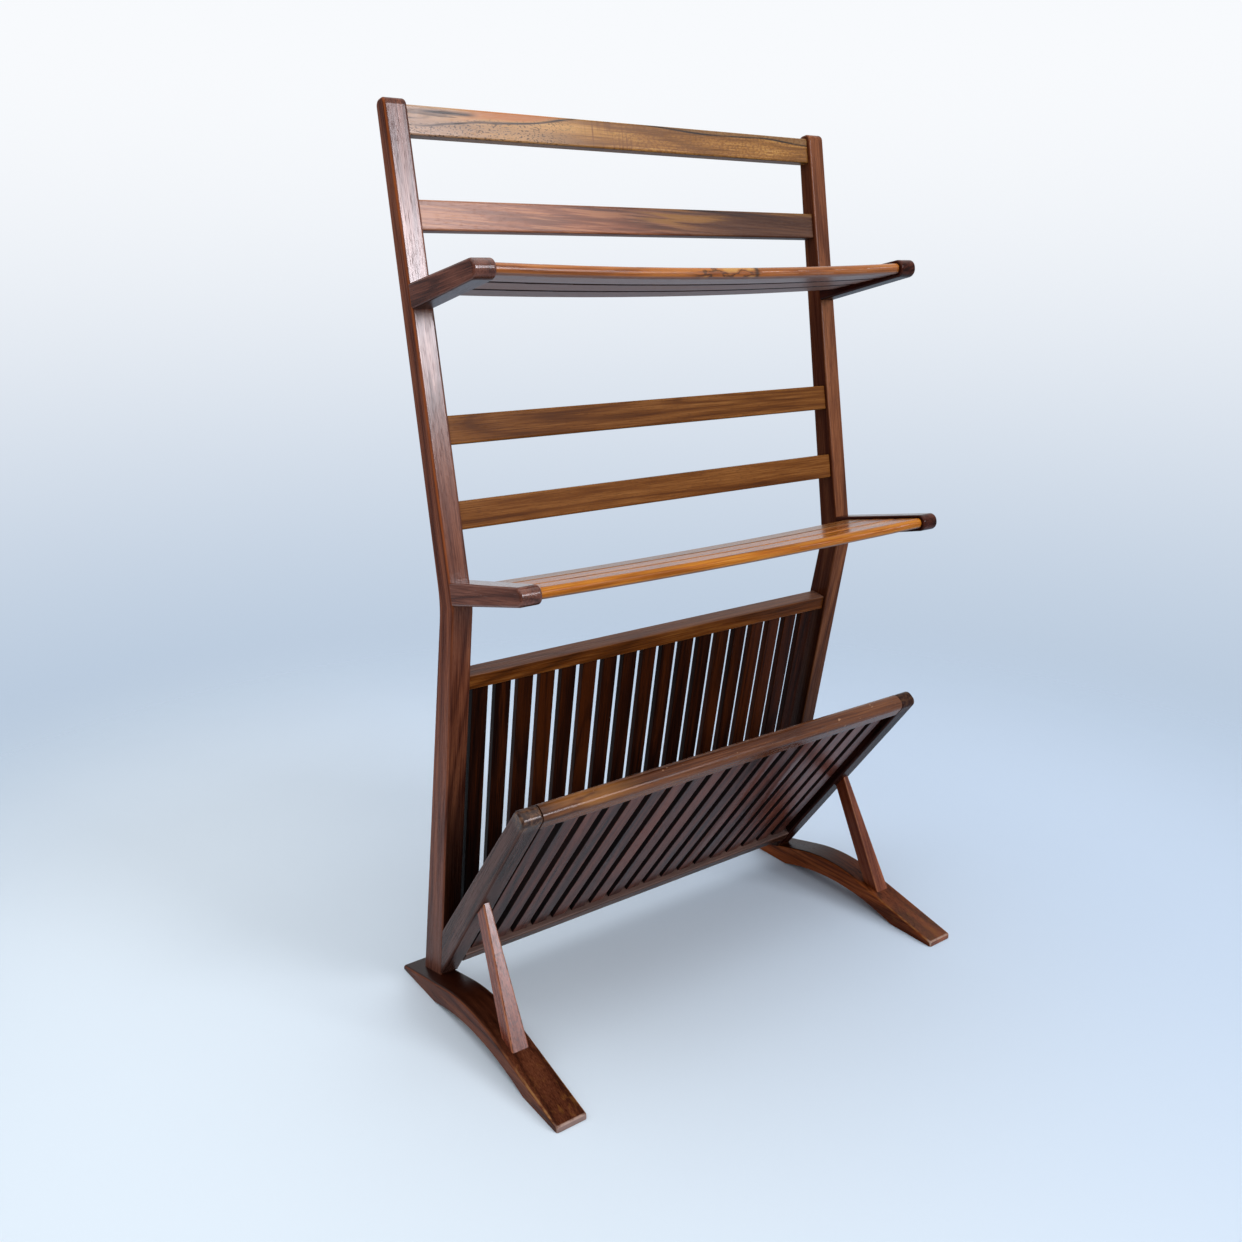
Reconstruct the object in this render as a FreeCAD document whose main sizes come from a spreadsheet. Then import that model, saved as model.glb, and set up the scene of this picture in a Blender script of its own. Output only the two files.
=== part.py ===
import FreeCAD, Part
import os
import re
import Sketcher
from FreeCAD import Vector

# Bookshelf with a magazine rack, in millimetres.
# X runs across the front, +Y to the back, +Z up, with the floor at zero and the origin in the middle
# of the ground that the two feet cover.
# Two bent posts stand on two feet. Two shelves on arms and four rails join the upper halves of the posts.
# A slatted panel between the lower halves and a second one that leans forward make the magazine rack.

doc = FreeCAD.newDocument("bookshelf_with_magazine_rack")
sheet = doc.addObject("Spreadsheet::Sheet", "dims")

# Sizes that can each be set by themselves
DRIVING = [
    ("frame_width", 581.5, "over the outer faces of the posts"),
    ("post_width", 24.5, "across a post, arm or stile"),
    ("bend_y", 27.5, "front of the post's bend"),
    ("bend_z", 504, "height of the post's bend"),
    ("upper_lean", 10.5, "backward lean of the upper post, degrees"),
    ("lower_lean", 9.5, "forward lean of the lower post, degrees"),
    ("post_rise", 494, "along the front from the bend to the top"),
    ("post_top_depth", 18.5, "front to back at the top"),
    ("post_bend_depth", 29.5, "front to back at the bend"),
    ("post_root_depth", 47, "along the foot at the bottom"),
    ("post_top_round", 7, "rounding of the post's top"),
    ("bend_round", 30, "rounding of the bend's front"),
    ("bend_hollow", 110, "rounding of the hollow behind the bend"),
    ("edge_round", 3, "rounding of long edges"),
    ("foot_length", 356, "front to back"),
    ("foot_width", 38, "across a foot"),
    ("foot_offset", 10, "foot's middle outward of the post's middle"),
    ("heel_height", 5, "thickness of the foot's back tip"),
    ("heel_slope", 14.6, "slope of the foot's top behind the hump, degrees"),
    ("toe_height", 6.8, "thickness of the foot's front tip"),
    ("toe_slope", 12.8, "slope of the foot's top before the hump, degrees"),
    ("toe_round", 3.5, "rounding of the front tip"),
    ("hump_round", 235, "rounding of the hump"),
    ("arch_width", 205, "length of the arch under a foot"),
    ("arch_height", 17, "height of the arch"),
    ("arch_y", -8.5, "middle of the arch"),
    ("rail_setback", 4, "rails' front faces behind the posts' front"),
    ("rail_thickness", 13.5, "front to back of a back rail"),
    ("rail_height", 29, "height of a back rail"),
    ("top_rail_height", 28, "height of the top back rail"),
    ("top_rail_drop", 5, "from the post's top down to the top rail"),
    ("second_rail_drop", 92, "from the post's top down to the second rail"),
    ("third_rail_z", 166, "under the third rail, up from the bend"),
    ("fourth_rail_z", 80, "under the lowest back rail"),
    ("rail_round", 2, "rounding of a rail's edges"),
    ("tenon_shoulder", 3, "step around a tenon"),
    ("tenon_length", 12, "tenon of a back rail"),
    ("fit_clearance", 0.1, "play on each side of a joint"),
    ("upper_arm_drop", 171, "from the post's top down to the upper arms' top"),
    ("lower_arm_z", 29, "top of the lower arms, up from the bend"),
    ("upper_arm_length", 132, "upper arm, from the post to its nose"),
    ("lower_arm_length", 143, "lower arm, from the post to its nose"),
    ("arm_root_height", 24.5, "height of an arm at the post"),
    ("arm_nose_height", 19, "height of an arm's nose"),
    ("slat_thickness", 11.5, "thickness of a shelf slat"),
    ("slat_gap", 4.5, "between the slats of a shelf"),
    ("slat_setback", 4, "from an arm's nose back to the front slat's nose"),
    ("slat_rear_gap", 20, "from the rear slat to the post's front"),
    ("slat_tenon_length", 10, "shelf slat's tenon in an arm"),
    ("slat_edge_round", 1.5, "rounding of a shelf slat's edges"),
    ("nose_flat", 0.9, "flat left on a round nose"),
    ("upper_sag", 5, "bow of the upper shelf at its middle"),
    ("lower_sag", 3, "bow of the lower shelf at its middle"),
    ("rack_rail_height", 18, "height of the rack back's rails"),
    ("rack_rail_depth", 22, "front to back of the rack back's rails"),
    ("rack_top_drop", 82.5, "from the bend down to the rack back's top"),
    ("rack_floor_gap", 1.5, "between the two bottom rails of the rack"),
    ("rack_slat_count", 18, "slats in each rack panel"),
    ("rack_slat_width", 19.5, "width of a rack slat"),
    ("rack_slat_thickness", 8.5, "thickness of a rack slat"),
    ("rack_slat_setback", 7.5, "back slats behind the rack back's rail fronts"),
    ("panel_slat_setback", 6.5, "front slats behind the rack front's face"),
    ("rack_slat_housing", 8, "depth of a slat's end in a rail"),
    ("rack_tenon_length", 10, "tenon of a rack rail"),
    ("panel_lean", 36, "forward lean of the rack front, degrees"),
    ("panel_length", 360.5, "stile, along its front from the foot"),
    ("stile_top_thickness", 20.5, "front to back at a stile's top"),
    ("stile_root_thickness", 34, "front to back at a stile's root"),
    ("stile_tip", 3, "cut off the stile's sharp lower tip"),
    ("panel_rail_thickness", 21, "front to back of the rack front's rails"),
    ("panel_top_height", 22, "height of the rack front's top rail"),
    ("panel_bottom_height", 18, "height of the rack front's bottom rail"),
    ("panel_rail_rise", 20, "under the bottom rail, along the panel"),
    ("panel_tenon_thickness", 6, "tenon of a rack front rail"),
    ("bullnose_round", 8, "rounding of the rack front's top"),
    ("strut_y", -77, "front of a strut on the foot"),
    ("strut_lean", 27.6, "backward lean of a strut, degrees"),
    ("strut_depth", 20.5, "front to back, square to the strut"),
    ("strut_root_width", 21, "across a strut at the foot"),
    ("strut_tip_width", 8.5, "across a strut at the stile"),
    ("strut_inset", 11.5, "strut's inner face outward of the stile's"),
    ("dowel_diameter", 6, "dowels of arms and stiles"),
    ("strut_dowel_diameter", 5, "dowels of the struts"),
    ("arm_dowel_in_arm", 24, "arm dowel's length in the arm"),
    ("arm_dowel_in_post", 13, "arm dowel's length in the post"),
    ("arm_dowel_spacing", 10, "between an arm's two dowels"),
    ("stile_dowel_in_stile", 10, "stile dowel's length in the stile"),
    ("stile_dowel_in_post", 16, "stile dowel's length in the post"),
    ("stile_dowel_rise", 38, "lower stile dowel, up from the foot"),
    ("stile_dowel_spacing", 15, "between a stile's two dowels"),
    ("stile_dowel_cover", 8, "stile dowel's middle inside the outer face"),
    ("strut_dowel_length", 24, "strut dowel, half in each piece"),
    ("screw_diameter", 4.5, "shank of a foot screw"),
    ("screw_head_diameter", 9, "head of a foot screw"),
    ("screw_recess", 0.5, "screw head above the foot's underside"),
    ("screw_length", 44, "foot screw with its head"),
    ("screw_cover", 7, "screw's middle inside the post's outer face"),
    ("screw_setback", 11, "front screw behind the post's front corner"),
    ("screw_spacing", 17, "between the two screws of a foot"),
]

# Sizes that follow from the ones above
DERIVED = [
    ("inner_x", "frame_width / 2 - post_width", "inner face of a post"),
    ("post_x", "frame_width / 2 - post_width / 2", "middle of a post"),
    ("foot_x", "post_x + foot_offset", "middle of a foot"),
    ("apex_y", "(heel_height + foot_length / 2 * tan(heel_slope) - toe_height"
               " - foot_length / 2 * tan(toe_slope)) / (tan(heel_slope) + tan(toe_slope))",
     "hump, unrounded"),
    ("apex_z", "toe_height + (apex_y + foot_length / 2) * tan(toe_slope)", "hump, unrounded"),
    ("arch_radius", "(arch_width ^ 2 / 4 + arch_height ^ 2) / (2 * arch_height)", "arch under a foot"),
    ("seat_z", "(heel_height + (foot_length / 2 - bend_y - bend_z * tan(lower_lean)) * tan(heel_slope))"
               " / (1 - tan(lower_lean) * tan(heel_slope))", "front of the post on the foot"),
    ("seat_y", "bend_y + (bend_z - seat_z) * tan(lower_lean)", "front of the post on the foot"),
    ("top_rail_z", "post_rise - top_rail_drop - top_rail_height", "under the top rail"),
    ("second_rail_z", "post_rise - second_rail_drop - rail_height", "under the second rail"),
    ("upper_arm_z", "post_rise - upper_arm_drop", "top of the upper arms"),
    ("arm_nose_round", "(arm_nose_height - nose_flat) / 2", "rounding of an arm's nose"),
    ("slat_nose_round", "(slat_thickness - nose_flat) / 2", "rounding of a front slat's nose"),
    ("slat_z_drop", "arm_nose_height / 2", "middle of a shelf slat under the arm's top"),
    ("upper_slat_width", "(upper_arm_length - slat_setback - slat_rear_gap - 2 * slat_gap) / 3",
     "upper shelf slat"),
    ("lower_slat_width", "(lower_arm_length - slat_setback - slat_rear_gap - 2 * slat_gap) / 3",
     "lower shelf slat"),
    ("rack_pitch", "(2 * inner_x + rack_slat_width) / (rack_slat_count + 1)", "from rack slat to rack slat"),
    ("rack_top_z", "-rack_top_drop - rack_rail_height", "under the rack back's top rail"),
    ("rack_bottom_z", "(seat_z - bend_z) / cos(lower_lean)"
                      " + panel_rail_thickness * sin(panel_lean - lower_lean)"
                      " + (panel_rail_rise + panel_bottom_height) * cos(panel_lean - lower_lean)"
                      " + rack_floor_gap", "under the rack back's bottom rail"),
    ("back_slat_z", "rack_bottom_z + rack_rail_height - rack_slat_housing", "foot of a back slat"),
    ("back_slat_length", "rack_top_z + rack_slat_housing - back_slat_z", "rack back slat"),
    ("panel_top_z", "panel_length - panel_top_height", "under the rack front's top rail"),
    ("panel_slat_z", "panel_rail_rise + panel_bottom_height - rack_slat_housing", "foot of a front slat"),
    ("panel_slat_length", "panel_top_z + rack_slat_housing - panel_slat_z", "rack front slat"),
    ("mitre_slope", "tan(panel_lean - lower_lean)", "stile's mitre on the post"),
    ("stile_taper", "(stile_root_thickness - stile_top_thickness) / panel_length", "stile's back"),
    ("crotch_z", "stile_root_thickness / (mitre_slope + stile_taper)", "top of the mitre, along the stile"),
    ("strut_z", "toe_height + (strut_y + foot_length / 2) * tan(toe_slope)", "front of a strut on the foot"),
    ("strut_run", "strut_depth / cos(strut_lean + toe_slope)", "strut along the foot"),
    ("strut_back_y", "strut_y + strut_run * cos(toe_slope)", "back of a strut on the foot"),
    ("strut_back_z", "strut_z + strut_run * sin(toe_slope)", "back of a strut on the foot"),
    ("strut_front_reach", "((seat_y - strut_y) * cos(panel_lean) + (seat_z - strut_z) * sin(panel_lean))"
                          " / sin(strut_lean + panel_lean)", "strut's front, up to the stile"),
    ("strut_back_reach", "((seat_y - strut_back_y) * cos(panel_lean) + (seat_z - strut_back_z)"
                         " * sin(panel_lean)) / sin(strut_lean + panel_lean)",
     "strut's back, up to the stile"),
    ("strut_taper", "atan((strut_root_width - strut_tip_width) / (strut_front_reach * cos(strut_lean)))",
     "slope of a strut's outer face"),
    ("strut_x", "inner_x + strut_inset", "inner face of a strut"),
    ("strut_dowel_y", "strut_y + strut_run * cos(toe_slope) / 2", "lower strut dowel on the foot"),
    ("strut_dowel_z", "strut_z + strut_run * sin(toe_slope) / 2", "lower strut dowel on the foot"),
    ("strut_tip_y", "(strut_y + strut_front_reach * sin(strut_lean) + strut_back_y"
                    " + strut_back_reach * sin(strut_lean)) / 2", "middle of a strut's upper end"),
    ("strut_tip_z", "(strut_z + strut_front_reach * cos(strut_lean) + strut_back_z"
                    " + strut_back_reach * cos(strut_lean)) / 2", "middle of a strut's upper end"),
    ("screw_head_height", "(screw_head_diameter - screw_diameter) / 2", "countersunk head"),
]

for row, (alias, value, meaning) in enumerate(DRIVING + DERIVED, start=1):
    sheet.set(f"A{row}", alias)
    sheet.set(f"B{row}", f"={value}" if isinstance(value, str) else str(value))
    sheet.set(f"C{row}", meaning)
    sheet.setAlias(f"B{row}", alias)
doc.recompute()
ALIASES = {alias for alias, value, meaning in DRIVING + DERIVED}


# Shared helpers
def cell(formula):
    """Puts the sheet's name before each size in a formula."""
    return re.sub(r"[a-z_]+", lambda word: f"dims.{word[0]}" if word[0] in ALIASES else word[0], formula)


def bind(item, **formulas):
    """Binds properties of a document object to formulas of the sheet."""
    for name, formula in formulas.items():
        item.setExpression(name, cell(formula))
    return item


# Each frame has its origin (Y, Z) and its turn about X: the upper post, the lower post, the rack front
FRAMES = {
    "ground": ("0", "0", "0"),
    "upper": ("bend_y", "bend_z", "-upper_lean"),
    "lower": ("bend_y", "bend_z", "lower_lean"),
    "panel": ("seat_y", "seat_z", "panel_lean"),
}


def put(item, frame="ground", x="0", y="0", z="0", extra_turn="0"):
    """Places an object at a point of a frame, turned with that frame about X."""
    origin_y, origin_z, turn = FRAMES[frame]
    at_y = f"{origin_y} + ({y}) * cos({turn}) - ({z}) * sin({turn})"
    at_z = f"{origin_z} + ({y}) * sin({turn}) + ({z}) * cos({turn})"
    return bind(item, Placement=f"placement(vector({x}; {at_y}; {at_z}); "
                                f"rotation(vector(1; 0; 0); {turn} + ({extra_turn})))")


def box(name, length, width, height, x="0", y="0", z="0", frame="ground"):
    """A block that starts at a point of a frame."""
    block = doc.addObject("Part::Box", name)
    bind(block, Length=length, Width=width, Height=height)
    return put(block, frame, x, y, z)


def rod(name, diameter, length, x, y, z, frame="ground", extra_turn="-90"):
    """A round rod that runs toward +Y of its frame, or as extra_turn says."""
    cylinder = doc.addObject("Part::Cylinder", name)
    bind(cylinder, Radius=f"({diameter}) / 2", Height=length)
    return put(cylinder, frame, x, y, z, extra_turn)


def group(name, members):
    compound = doc.addObject("Part::Compound", name)
    compound.Links = members
    return compound


def fuse(name, members):
    joined = doc.addObject("Part::MultiFuse", name)
    joined.Shapes = members
    joined.Refine = True
    return joined


def cut(name, base, tools):
    """Takes tools out of a base, and makes sure that every one of them meets it."""
    remaining = doc.addObject("Part::Cut", name)
    remaining.Base = base
    remaining.Tool = tools[0] if len(tools) == 1 else group(f"{name}_tools", tools)
    doc.recompute()
    for tool in tools:
        if base.Shape.common(tool.Shape).Volume < 1:
            raise RuntimeError(f"{tool.Name} takes nothing from {base.Name}")
    return remaining


def mirror(name, source):
    """The left piece, a mirror image of the right one."""
    image = doc.addObject("Part::Mirroring", name)
    image.Source = source
    image.Normal = Vector(1, 0, 0)
    image.Base = Vector(0, 0, 0)
    return image


def origin_plane(body, role):
    return next(plane for plane in body.Origin.OriginFeatures if plane.Role == role)


def sketch_on(body, name, role):
    sketch = body.newObject("Sketcher::SketchObject", name)
    sketch.AttachmentSupport = [(origin_plane(body, role), "")]
    sketch.MapMode = "FlatFace"
    return sketch


def hold_point(sketch, edge, end, across, up):
    """Fixes one end of a sketch edge by two formulas."""
    for kind, formula in (("DistanceX", across), ("DistanceY", up)):
        value = number(formula)
        index = sketch.addConstraint(Sketcher.Constraint(kind, -1, 1, edge, end, value))
        sketch.setExpression(f"Constraints[{index}]", cell(formula))


def number(formula):
    """The present value of a formula."""
    value = sheet.evalExpression(cell(formula))
    return float(getattr(value, "Value", value))


def outline(body, name, points):
    """A closed side view of straight edges through points given as pairs of formulas."""
    sketch = sketch_on(body, name, "YZ_Plane")
    corners = [Vector(number(across), number(up), 0) for across, up in points]
    for start, end in zip(corners, corners[1:] + corners[:1]):
        sketch.addGeometry(Part.LineSegment(start, end))
    count = len(points)
    for edge in range(count):
        sketch.addConstraint(Sketcher.Constraint("Coincident", edge, 2, (edge + 1) % count, 1))
    for edge, (across, up) in enumerate(points):
        hold_point(sketch, edge, 1, across, up)
    return sketch


def pad(body, name, sketch, length):
    """A pad of a sketch, half of it on each side."""
    feature = body.newObject("PartDesign::Pad", name)
    feature.Profile = sketch
    feature.SideType = "Symmetric"
    bind(feature, Length=length)
    doc.recompute()
    return feature


def round_edges(body, name, radius, test):
    """Rounds the edges of a body's last feature that pass a test of their two ends."""
    base = body.Tip
    edges = []
    for index, edge in enumerate(base.Shape.Edges, start=1):
        ends = [vertex.Point for vertex in edge.Vertexes]
        if len(ends) == 2 and test(ends[0], ends[1]):
            edges.append(f"Edge{index}")
    feature = body.newObject("PartDesign::Fillet", name)
    feature.Base = (base, edges)
    bind(feature, Radius=radius)
    doc.recompute()
    return feature


NEAR = 0.01


def across_at(y, z):
    """A test for an edge that runs along X through a point."""
    def test(start, end):
        return all(abs(point.y - y) < NEAR and abs(point.z - z) < NEAR for point in (start, end))
    return test


def on_sides(half_width, keep=lambda point: True):
    """A test for edges on the two side faces, where both ends are kept."""
    def test(start, end):
        return (abs(abs(start.x) - half_width) < NEAR and abs(start.x - end.x) < NEAR
                and (keep(start) or keep(end)))
    return test


nodes = []


def node(item, name):
    item.Label = name
    nodes.append(item)
    return item


# Mortises and tenons of rails that run between two uprights
def rail(name, frame, y, z, thickness, height, tenon_length, tenon_thickness, rounds):
    """A rail with a tenon on each end. Its rounded edges are given as (radius, y, z) corners."""
    body = doc.addObject("PartDesign::Body", f"{name}_bar")
    corners = [("0", "0"), (thickness, "0"), (thickness, height), ("0", height)]
    pad(body, f"{name}_pad", outline(body, f"{name}_section", corners), "2 * inner_x")
    for index, (radius, corner_y, corner_z) in enumerate(rounds):
        test = across_at(number(corner_y), number(corner_z))
        round_edges(body, f"{name}_round_{index}", radius, test)
    tenon = box(f"{name}_tenon", f"2 * inner_x + 2 * ({tenon_length})", tenon_thickness,
                f"{height} - 2 * tenon_shoulder", f"-inner_x - ({tenon_length})", "tenon_shoulder",
                "tenon_shoulder")
    whole = fuse(f"{name}_whole", [body, tenon])
    put(whole, frame, "0", y, z)
    return node(whole, name)


def rail_mortise(name, frame, y, z, height, tenon_length, tenon_thickness):
    """The mortise of a rail in the right upright, with play on every side."""
    return box(name, f"{tenon_length} + 2 * fit_clearance", f"{tenon_thickness} + 2 * fit_clearance",
               f"{height} - 2 * tenon_shoulder + 2 * fit_clearance", "inner_x - fit_clearance",
               f"{y} + tenon_shoulder - fit_clearance", f"{z} + tenon_shoulder - fit_clearance", frame)


def four_rounds(thickness, height):
    return [("rail_round", y, z) for y in ("0", thickness) for z in ("0", height)]


# Back rails between the posts
BACK_RAILS = [
    ("top_back_rail", "top_rail_z", "top_rail_height"),
    ("second_back_rail", "second_rail_z", "rail_height"),
    ("third_back_rail", "third_rail_z", "rail_height"),
    ("fourth_back_rail", "fourth_rail_z", "rail_height"),
]
post_tools = []
for name, z, height in BACK_RAILS:
    tenon_sizes = ("tenon_length", "rail_thickness - 2 * tenon_shoulder")
    rail(name, "upper", "rail_setback", z, "rail_thickness", height, *tenon_sizes,
         four_rounds("rail_thickness", height))
    post_tools.append(rail_mortise(f"{name}_mortise", "upper", "rail_setback", z, height, *tenon_sizes))

# Rack slats: the same number in each panel, their ends housed in the rails above and below
SLATS = int(number("rack_slat_count"))
PER_NODE = 2


def slat_x(index):
    return f"-inner_x + {index + 1} * rack_pitch - rack_slat_width"


def slat_nodes(panel, frame, y, z, length):
    """The slats of one panel, two neighbours in each node."""
    for first in range(0, SLATS, PER_NODE):
        slats = []
        for index in range(first, min(first + PER_NODE, SLATS)):
            slats.append(box(f"{panel}_slat_{index + 1}", "rack_slat_width", "rack_slat_thickness", length,
                             slat_x(index), y, z))
        pair = group(f"{panel}_slats_{first // PER_NODE + 1:02d}", slats)
        put(pair, frame)
        node(pair, pair.Name)


def slat_housings(name, frame, y, z):
    """The housings of a panel's slats in one rail."""
    housings = []
    for index in range(SLATS):
        sizes = [f"{size} + 2 * fit_clearance"
                 for size in ("rack_slat_width", "rack_slat_thickness", "rack_slat_housing")]
        corner = [f"{place} - fit_clearance" for place in (slat_x(index), y, z)]
        housings.append(box(f"{name}_{index + 1}", *sizes, *corner))
    return put(group(name, housings), frame)


def housed_rail(name, frame, y, z, thickness, height, tenon_sizes, rounds, slat_y, housing_z):
    """A rail with tenons on its ends and housings for the slats in one edge."""
    bar = rail(f"{name}_solid", frame, y, z, thickness, height, *tenon_sizes, rounds)
    nodes.remove(bar)
    housings = slat_housings(f"{name}_housings", frame, slat_y, housing_z)
    return node(cut(f"{name}_housed", bar, [housings]), name)


# Rack back, between the lower halves of the posts
BACK_SLAT_Y = "rail_setback + rack_slat_setback"
for name, z, housing_z in (("rack_back_top_rail", "rack_top_z", "rack_top_z"),
                           ("rack_back_bottom_rail", "rack_bottom_z", "back_slat_z")):
    tenon_sizes = ("rack_tenon_length", "rack_rail_depth - 2 * tenon_shoulder")
    housed_rail(name, "lower", "rail_setback", z, "rack_rail_depth", "rack_rail_height", tenon_sizes,
                four_rounds("rack_rail_depth", "rack_rail_height"), BACK_SLAT_Y, housing_z)
    post_tools.append(rail_mortise(f"{name}_mortise", "lower", "rail_setback", z, "rack_rail_height",
                                   *tenon_sizes))
slat_nodes("rack_back", "lower", BACK_SLAT_Y, "back_slat_z", "back_slat_length")

# Rack front, between the two stiles
stile_tools = []
PANEL_RAILS = [
    ("rack_front_top_rail", "panel_top_z", "panel_top_height", "panel_top_z",
     [("bullnose_round", "0", "panel_top_height"),
      ("bullnose_round", "panel_rail_thickness", "panel_top_height"),
      ("rail_round", "0", "0"), ("rail_round", "panel_rail_thickness", "0")]),
    ("rack_front_bottom_rail", "panel_rail_rise", "panel_bottom_height", "panel_slat_z",
     four_rounds("panel_rail_thickness", "panel_bottom_height")),
]
for name, z, height, housing_z, rounds in PANEL_RAILS:
    tenon_sizes = ("rack_tenon_length", "panel_tenon_thickness")
    housed_rail(name, "panel", "0", z, "panel_rail_thickness", height, tenon_sizes, rounds,
                "panel_slat_setback", housing_z)
    stile_tools.append(rail_mortise(f"{name}_mortise", "panel", "0", z, height, *tenon_sizes))
slat_nodes("rack_front", "panel", "panel_slat_setback", "panel_slat_z", "panel_slat_length")

# Shelves: two arms each, with three slats let into the arms
arms = []
arm_dowels = []
SHELVES = [
    ("upper", "upper_arm_z", "upper_arm_length", "upper_slat_width", "upper_sag"),
    ("lower", "lower_arm_z", "lower_arm_length", "lower_slat_width", "lower_sag"),
]
ROWS = ("front", "middle", "rear")


def shelf_slat(name, width, sag, front_round):
    """A slat that bows down along its length, with a tenon on each end."""
    body = doc.addObject("PartDesign::Body", f"{name}_board")
    sketch = sketch_on(body, f"{name}_bow", "XZ_Plane")
    half = number("inner_x")
    depth = number(sag)
    radius = (half ** 2 + depth ** 2) / (2 * depth)
    for level in (-0.5, 0.5):
        z = level * number("slat_thickness")
        arc = Part.Arc(Vector(-half, z, 0), Vector(0, z - depth, 0), Vector(half, z, 0))
        sketch.addGeometry(arc)
    for side in (-half, half):
        low = Vector(side, -number("slat_thickness") / 2, 0)
        sketch.addGeometry(Part.LineSegment(low, low + Vector(0, number("slat_thickness"), 0)))
    lower_arc, upper_arc, left_line, right_line = range(4)
    for arc, end in ((lower_arc, 1), (upper_arc, 2)):
        sketch.addConstraint(Sketcher.Constraint("Coincident", left_line, end, arc, 1))
        sketch.addConstraint(Sketcher.Constraint("Coincident", right_line, end, arc, 2))
        up = "-slat_thickness / 2" if arc == lower_arc else "slat_thickness / 2"
        hold_point(sketch, arc, 1, "-inner_x", up)
        hold_point(sketch, arc, 2, "inner_x", up)
        index = sketch.addConstraint(Sketcher.Constraint("Radius", arc, radius))
        sketch.setExpression(f"Constraints[{index}]", cell(f"(inner_x ^ 2 + {sag} ^ 2) / (2 * {sag})"))
    pad(body, f"{name}_pad", sketch, width)
    front = -number(width) / 2
    for edge_name, radius_formula, y in (("front", front_round, front), ("rear", "slat_edge_round", -front)):
        round_edges(body, f"{name}_{edge_name}", radius_formula,
                    lambda start, end: all(abs(point.y - y) < NEAR for point in (start, end))
                    and abs(start.x - end.x) > half)
    tenons = []
    for side in (-1, 1):
        x = "inner_x" if side > 0 else "-inner_x - slat_tenon_length"
        tenons.append(box(f"{name}_tenon_{side + 1}", "slat_tenon_length", f"{width} - 4 * tenon_shoulder",
                          "slat_thickness - tenon_shoulder", x, f"-({width}) / 2 + 2 * tenon_shoulder",
                          "-(slat_thickness - tenon_shoulder) / 2"))
    return fuse(f"{name}_whole", [body] + tenons)


for shelf, arm_z, arm_length, slat_width, sag in SHELVES:
    tools = []
    for index, row in enumerate(ROWS):
        middle_y = f"-{arm_length} + slat_setback + {slat_width} / 2 + {index} * ({slat_width} + slat_gap)"
        middle_z = f"{arm_z} - slat_z_drop"
        front_round = "slat_nose_round" if row == "front" else "slat_edge_round"
        slat = shelf_slat(f"{shelf}_{row}", slat_width, sag, front_round)
        put(slat, "upper", "0", middle_y, middle_z)
        node(slat, f"{shelf}_shelf_{row}_slat")
        tools.append(box(f"{shelf}_{row}_mortise", "slat_tenon_length + 2 * fit_clearance",
                         f"{slat_width} - 4 * tenon_shoulder + 2 * fit_clearance",
                         "slat_thickness - tenon_shoulder + 2 * fit_clearance", "inner_x - fit_clearance",
                         f"{middle_y} - {slat_width} / 2 + 2 * tenon_shoulder - fit_clearance",
                         f"{middle_z} - (slat_thickness - tenon_shoulder) / 2 - fit_clearance", "upper"))
    body = doc.addObject("PartDesign::Body", f"{shelf}_arm_bar")
    put(body, "upper", "post_x")
    bottom = f"{arm_z} - arm_root_height"
    nose_bottom = f"{arm_z} - arm_nose_height"
    profile = [("0", bottom), ("0", arm_z), (f"-{arm_length}", arm_z), (f"-{arm_length}", nose_bottom)]
    pad(body, f"{shelf}_arm_pad", outline(body, f"{shelf}_arm_profile", profile), "post_width")
    nose_y = -number(arm_length)
    round_edges(body, f"{shelf}_arm_nose", "arm_nose_round",
                lambda start, end: abs(start.y - nose_y) < NEAR and abs(start.x - end.x) > 1)
    round_edges(body, f"{shelf}_arm_edges", "edge_round",
                on_sides(number("post_width") / 2, keep=lambda point: point.y < -NEAR))
    for step in range(2):
        dowel_z = f"{arm_z} - arm_root_height / 2 + ({step} - 0.5) * arm_dowel_spacing"
        arm_dowels.append(rod(f"{shelf}_arm_dowel_{step + 1}", "dowel_diameter",
                              "arm_dowel_in_arm + arm_dowel_in_post", "post_x", "-arm_dowel_in_arm", dowel_z,
                              "upper"))
        hole = rod(f"{shelf}_arm_dowel_hole_{step + 1}", "dowel_diameter + 2 * fit_clearance",
                   "arm_dowel_in_arm + arm_dowel_in_post + 2 * fit_clearance", "post_x",
                   "-arm_dowel_in_arm - fit_clearance", dowel_z, "upper")
        tools.append(hole)
        post_tools.append(hole)
    arms.append((shelf, cut(f"{shelf}_arm_cut", body, tools)))
for shelf, arm in arms:
    node(arm, f"{shelf}_shelf_right_arm")
    node(mirror(f"{shelf}_arm_mirror", arm), f"{shelf}_shelf_left_arm")

# Feet: a humped runner with an arch under it
foot = doc.addObject("PartDesign::Body", "foot_block")
put(foot, "ground", "foot_x")
half_length = "foot_length / 2"
pad(foot, "foot_pad", outline(foot, "foot_profile", [
    (half_length, "0"), (half_length, "heel_height"), ("apex_y", "apex_z"), (f"-{half_length}", "toe_height"),
    (f"-{half_length}", "0")]), "foot_width")
round_edges(foot, "foot_hump", "hump_round", across_at(number("apex_y"), number("apex_z")))
round_edges(foot, "foot_toe", "toe_round", across_at(-number(half_length), number("toe_height")))
arch = sketch_on(foot, "foot_arch_circle", "YZ_Plane")
arch_middle = Vector(number("arch_y"), number("arch_height - arch_radius"), 0)
arch.addGeometry(Part.Circle(arch_middle, Vector(0, 0, 1), number("arch_radius")))
hold_point(arch, 0, 3, "arch_y", "arch_height - arch_radius")
arch_constraint = arch.addConstraint(Sketcher.Constraint("Radius", 0, number("arch_radius")))
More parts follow.
